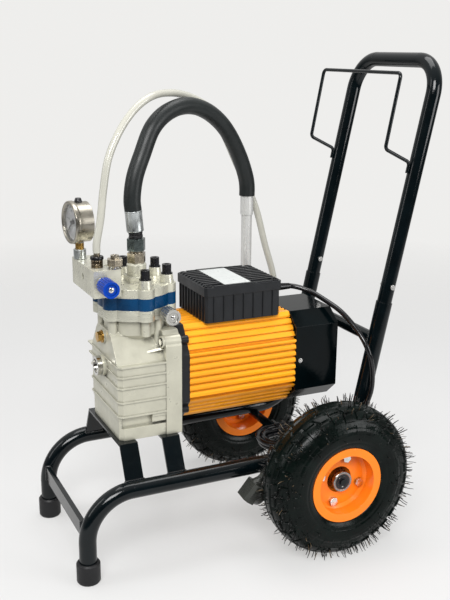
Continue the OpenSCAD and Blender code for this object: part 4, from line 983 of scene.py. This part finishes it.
def make_welds():
    """Beads where the brace, the cross tube and the saddles meet the tubes."""
    bm = bmesh.new()
    side_y, tube_r, lean = 119, 14, math.radians(12)
    cross_x, cross_z, cross_r = 113.35, 335, 10
    for side in SIDES.values():
        corners = [(-415, 107.1, 73), (-415, 107.1, 99), (-407, 105.2, 99), (-407, 105.2, 73),
                   (-415, 107.1, 73)]
        weld_bead(bm, stepped([(x, side * y, z) for x, y, z in corners]))
        ring = []
        for k in range(73):
            a = 2 * math.pi * k / 72
            x, z = (cross_r + 0.5) * math.cos(a), (cross_r + 0.5) * math.sin(a)
            off = x * math.cos(lean) - z * math.sin(lean)
            ring.append((cross_x + x, side * (side_y - math.sqrt(tube_r ** 2 - off ** 2)),
                         cross_z + z))
        weld_bead(bm, ring)
        for x in (-340, -268):
            outer, inner = (110.1, 153.8), (107.2, 150.5)
            corners = [(x - 0.5, side * outer[0], outer[1]), (x + 30.5, side * outer[0], outer[1]),
                       (x + 30.5, side * inner[0], inner[1]), (x - 0.5, side * inner[0], inner[1]),
                       (x - 0.5, side * outer[0], outer[1])]
            weld_bead(bm, stepped(corners))
    welds = from_bmesh("weld_beads", bm, paint["weld_black"], 60)
    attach(welds, "cart")


def make_hank_tie():
    """A cable tie round the far side of the hank, its head on top."""
    bm = bmesh.new()
    x, half_w = -17, 2.0
    middle_y, middle_z, half_y, half_z, round_r = -13.4, 147.3, 9.7, 9.5, 4.6
    loop = []
    for cy, cz, start in ((1, 1, 0), (-1, 1, 90), (-1, -1, 180), (1, -1, 270)):
        for step in range(0, 91, 15):
            a = math.radians(start + step)
            loop.append((middle_y + cy * (half_y - round_r), middle_z + cz * (half_z - round_r),
                         math.cos(a), math.sin(a)))
    rings = []
    for along, out in ((-half_w, round_r - 0.2), (-half_w, round_r + 0.8),
                       (-half_w + 0.4, round_r + 1.1), (half_w - 0.4, round_r + 1.1),
                       (half_w, round_r + 0.8), (half_w, round_r - 0.2)):
        rings.append([bm.verts.new(at(x + along, y + c * out, z + s * out)) for y, z, c, s in loop])
    join_rings(bm, rings + rings[:1])
    slab(bm, [at(x - 2.9, middle_y - 3, 157), at(x + 2.9, middle_y - 3, 157),
              at(x + 2.9, middle_y + 3, 157), at(x - 2.9, middle_y + 3, 157)], 4.4 * MM,
         Vector((0, 0, 1)))
    slab(bm, [at(x - 1.9, middle_y + 3, 158.6), at(x + 1.9, middle_y + 3, 158.6),
              at(x + 1.9, middle_y + 3, 159.7), at(x - 1.9, middle_y + 3, 159.7)], 17 * MM,
         Vector((0, 1, 0)))
    tie = from_bmesh("hank_tie", bm, paint["seal_black"], 40)
    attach(tie, "cart")
    return tie


def plug_point(x, y, z):
    """A point in the plug's own millimetres, z along its relief from the lead, x to its pins."""
    along = Vector((-0.6, 0.09, -0.8)).normalized()
    across = (Vector((1, 0, 0)) - along * along.x).normalized()
    return at(*(Vector(LEAD_ROUTE[-1]) + across * x + along.cross(across) * y + along * z))


def make_plug_pieces():
    """Bright sleeves on the plug's two pins, and grip ridges on three sides of its body."""
    pieces = []
    aim = (plug_point(1, 0, 0) - plug_point(0, 0, 0)).normalized()
    for name, y in (("a", -9.5), ("b", 9.5)):
        pieces.append(turned_piece("plug_pin_" + name, [(1.2, 0), (1.2, 2.5), (18.6, 2.5),
                                                        (19.9, 1.9), (20.4, 0.9), (20.4, 0)],
                                   "chrome", "cart", plug_point(18, y, 46.5), aim, 24))
    bm = bmesh.new()
    sideways = (plug_point(0, 1, 0) - plug_point(0, 0, 0)).normalized()
    for z in (36.5, 40.5, 44.5, 48.5, 52.5, 56.5):
        for side in (-1, 1):
            corners = [plug_point(x, side * 16.9, z + w)
                       for x, w in ((-6, -0.9), (5, -0.9), (5, 0.9), (-6, 0.9))]
            slab(bm, corners, side * 0.7 * MM, sideways)
        corners = [plug_point(-11.9, y, z + w)
                   for y, w in ((-10, -0.9), (10, -0.9), (10, 0.9), (-10, 0.9))]
        slab(bm, corners, 0.7 * MM, -aim)
    ridges = from_bmesh("plug_ridges", bm, paint["plug_plastic"], 40)
    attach(ridges, "cart")
    return pieces + [ridges]


def make_label():
    """The bare white plate on the lid's flat band."""
    bm = bmesh.new()
    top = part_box("box_lid")[1].z - 0.4 * MM
    x0, x1, y0, y1 = AXLE.x - 0.1455, AXLE.x - 0.0975, -0.0565, 0.048
    round_r, corners = 0.002, []
    for cx, cy, start in ((x1, y1, 0), (x0, y1, 90), (x0, y0, 180), (x1, y0, 270)):
        for step in range(0, 91, 30):
            angle = math.radians(start + step)
            corners.append(Vector((cx + (math.cos(angle) - (1 if cx == x1 else -1)) * round_r,
                                   cy + (math.sin(angle) - (1 if cy == y1 else -1)) * round_r,
                                   top)))
    slab(bm, corners, 0.5 * MM, Vector((0, 0, 1)))
    label = from_bmesh("box_label", bm, paint["label_white"])
    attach(label, "cart")


# --- Build ---------------------------------------------------------------------

bpy.context.scene.view_settings.view_transform = "Standard"
make_camera()
make_world()
for lamp in LAMPS:
    area_light(*lamp)
make_floor()
paint = make_materials()
make_suction_hose()
make_return_hose()
make_power_cord()
dress_cad_nodes()
make_tyres()
make_gauge()
make_coupling()
make_fittings()
make_seals()
make_welds()
make_label()
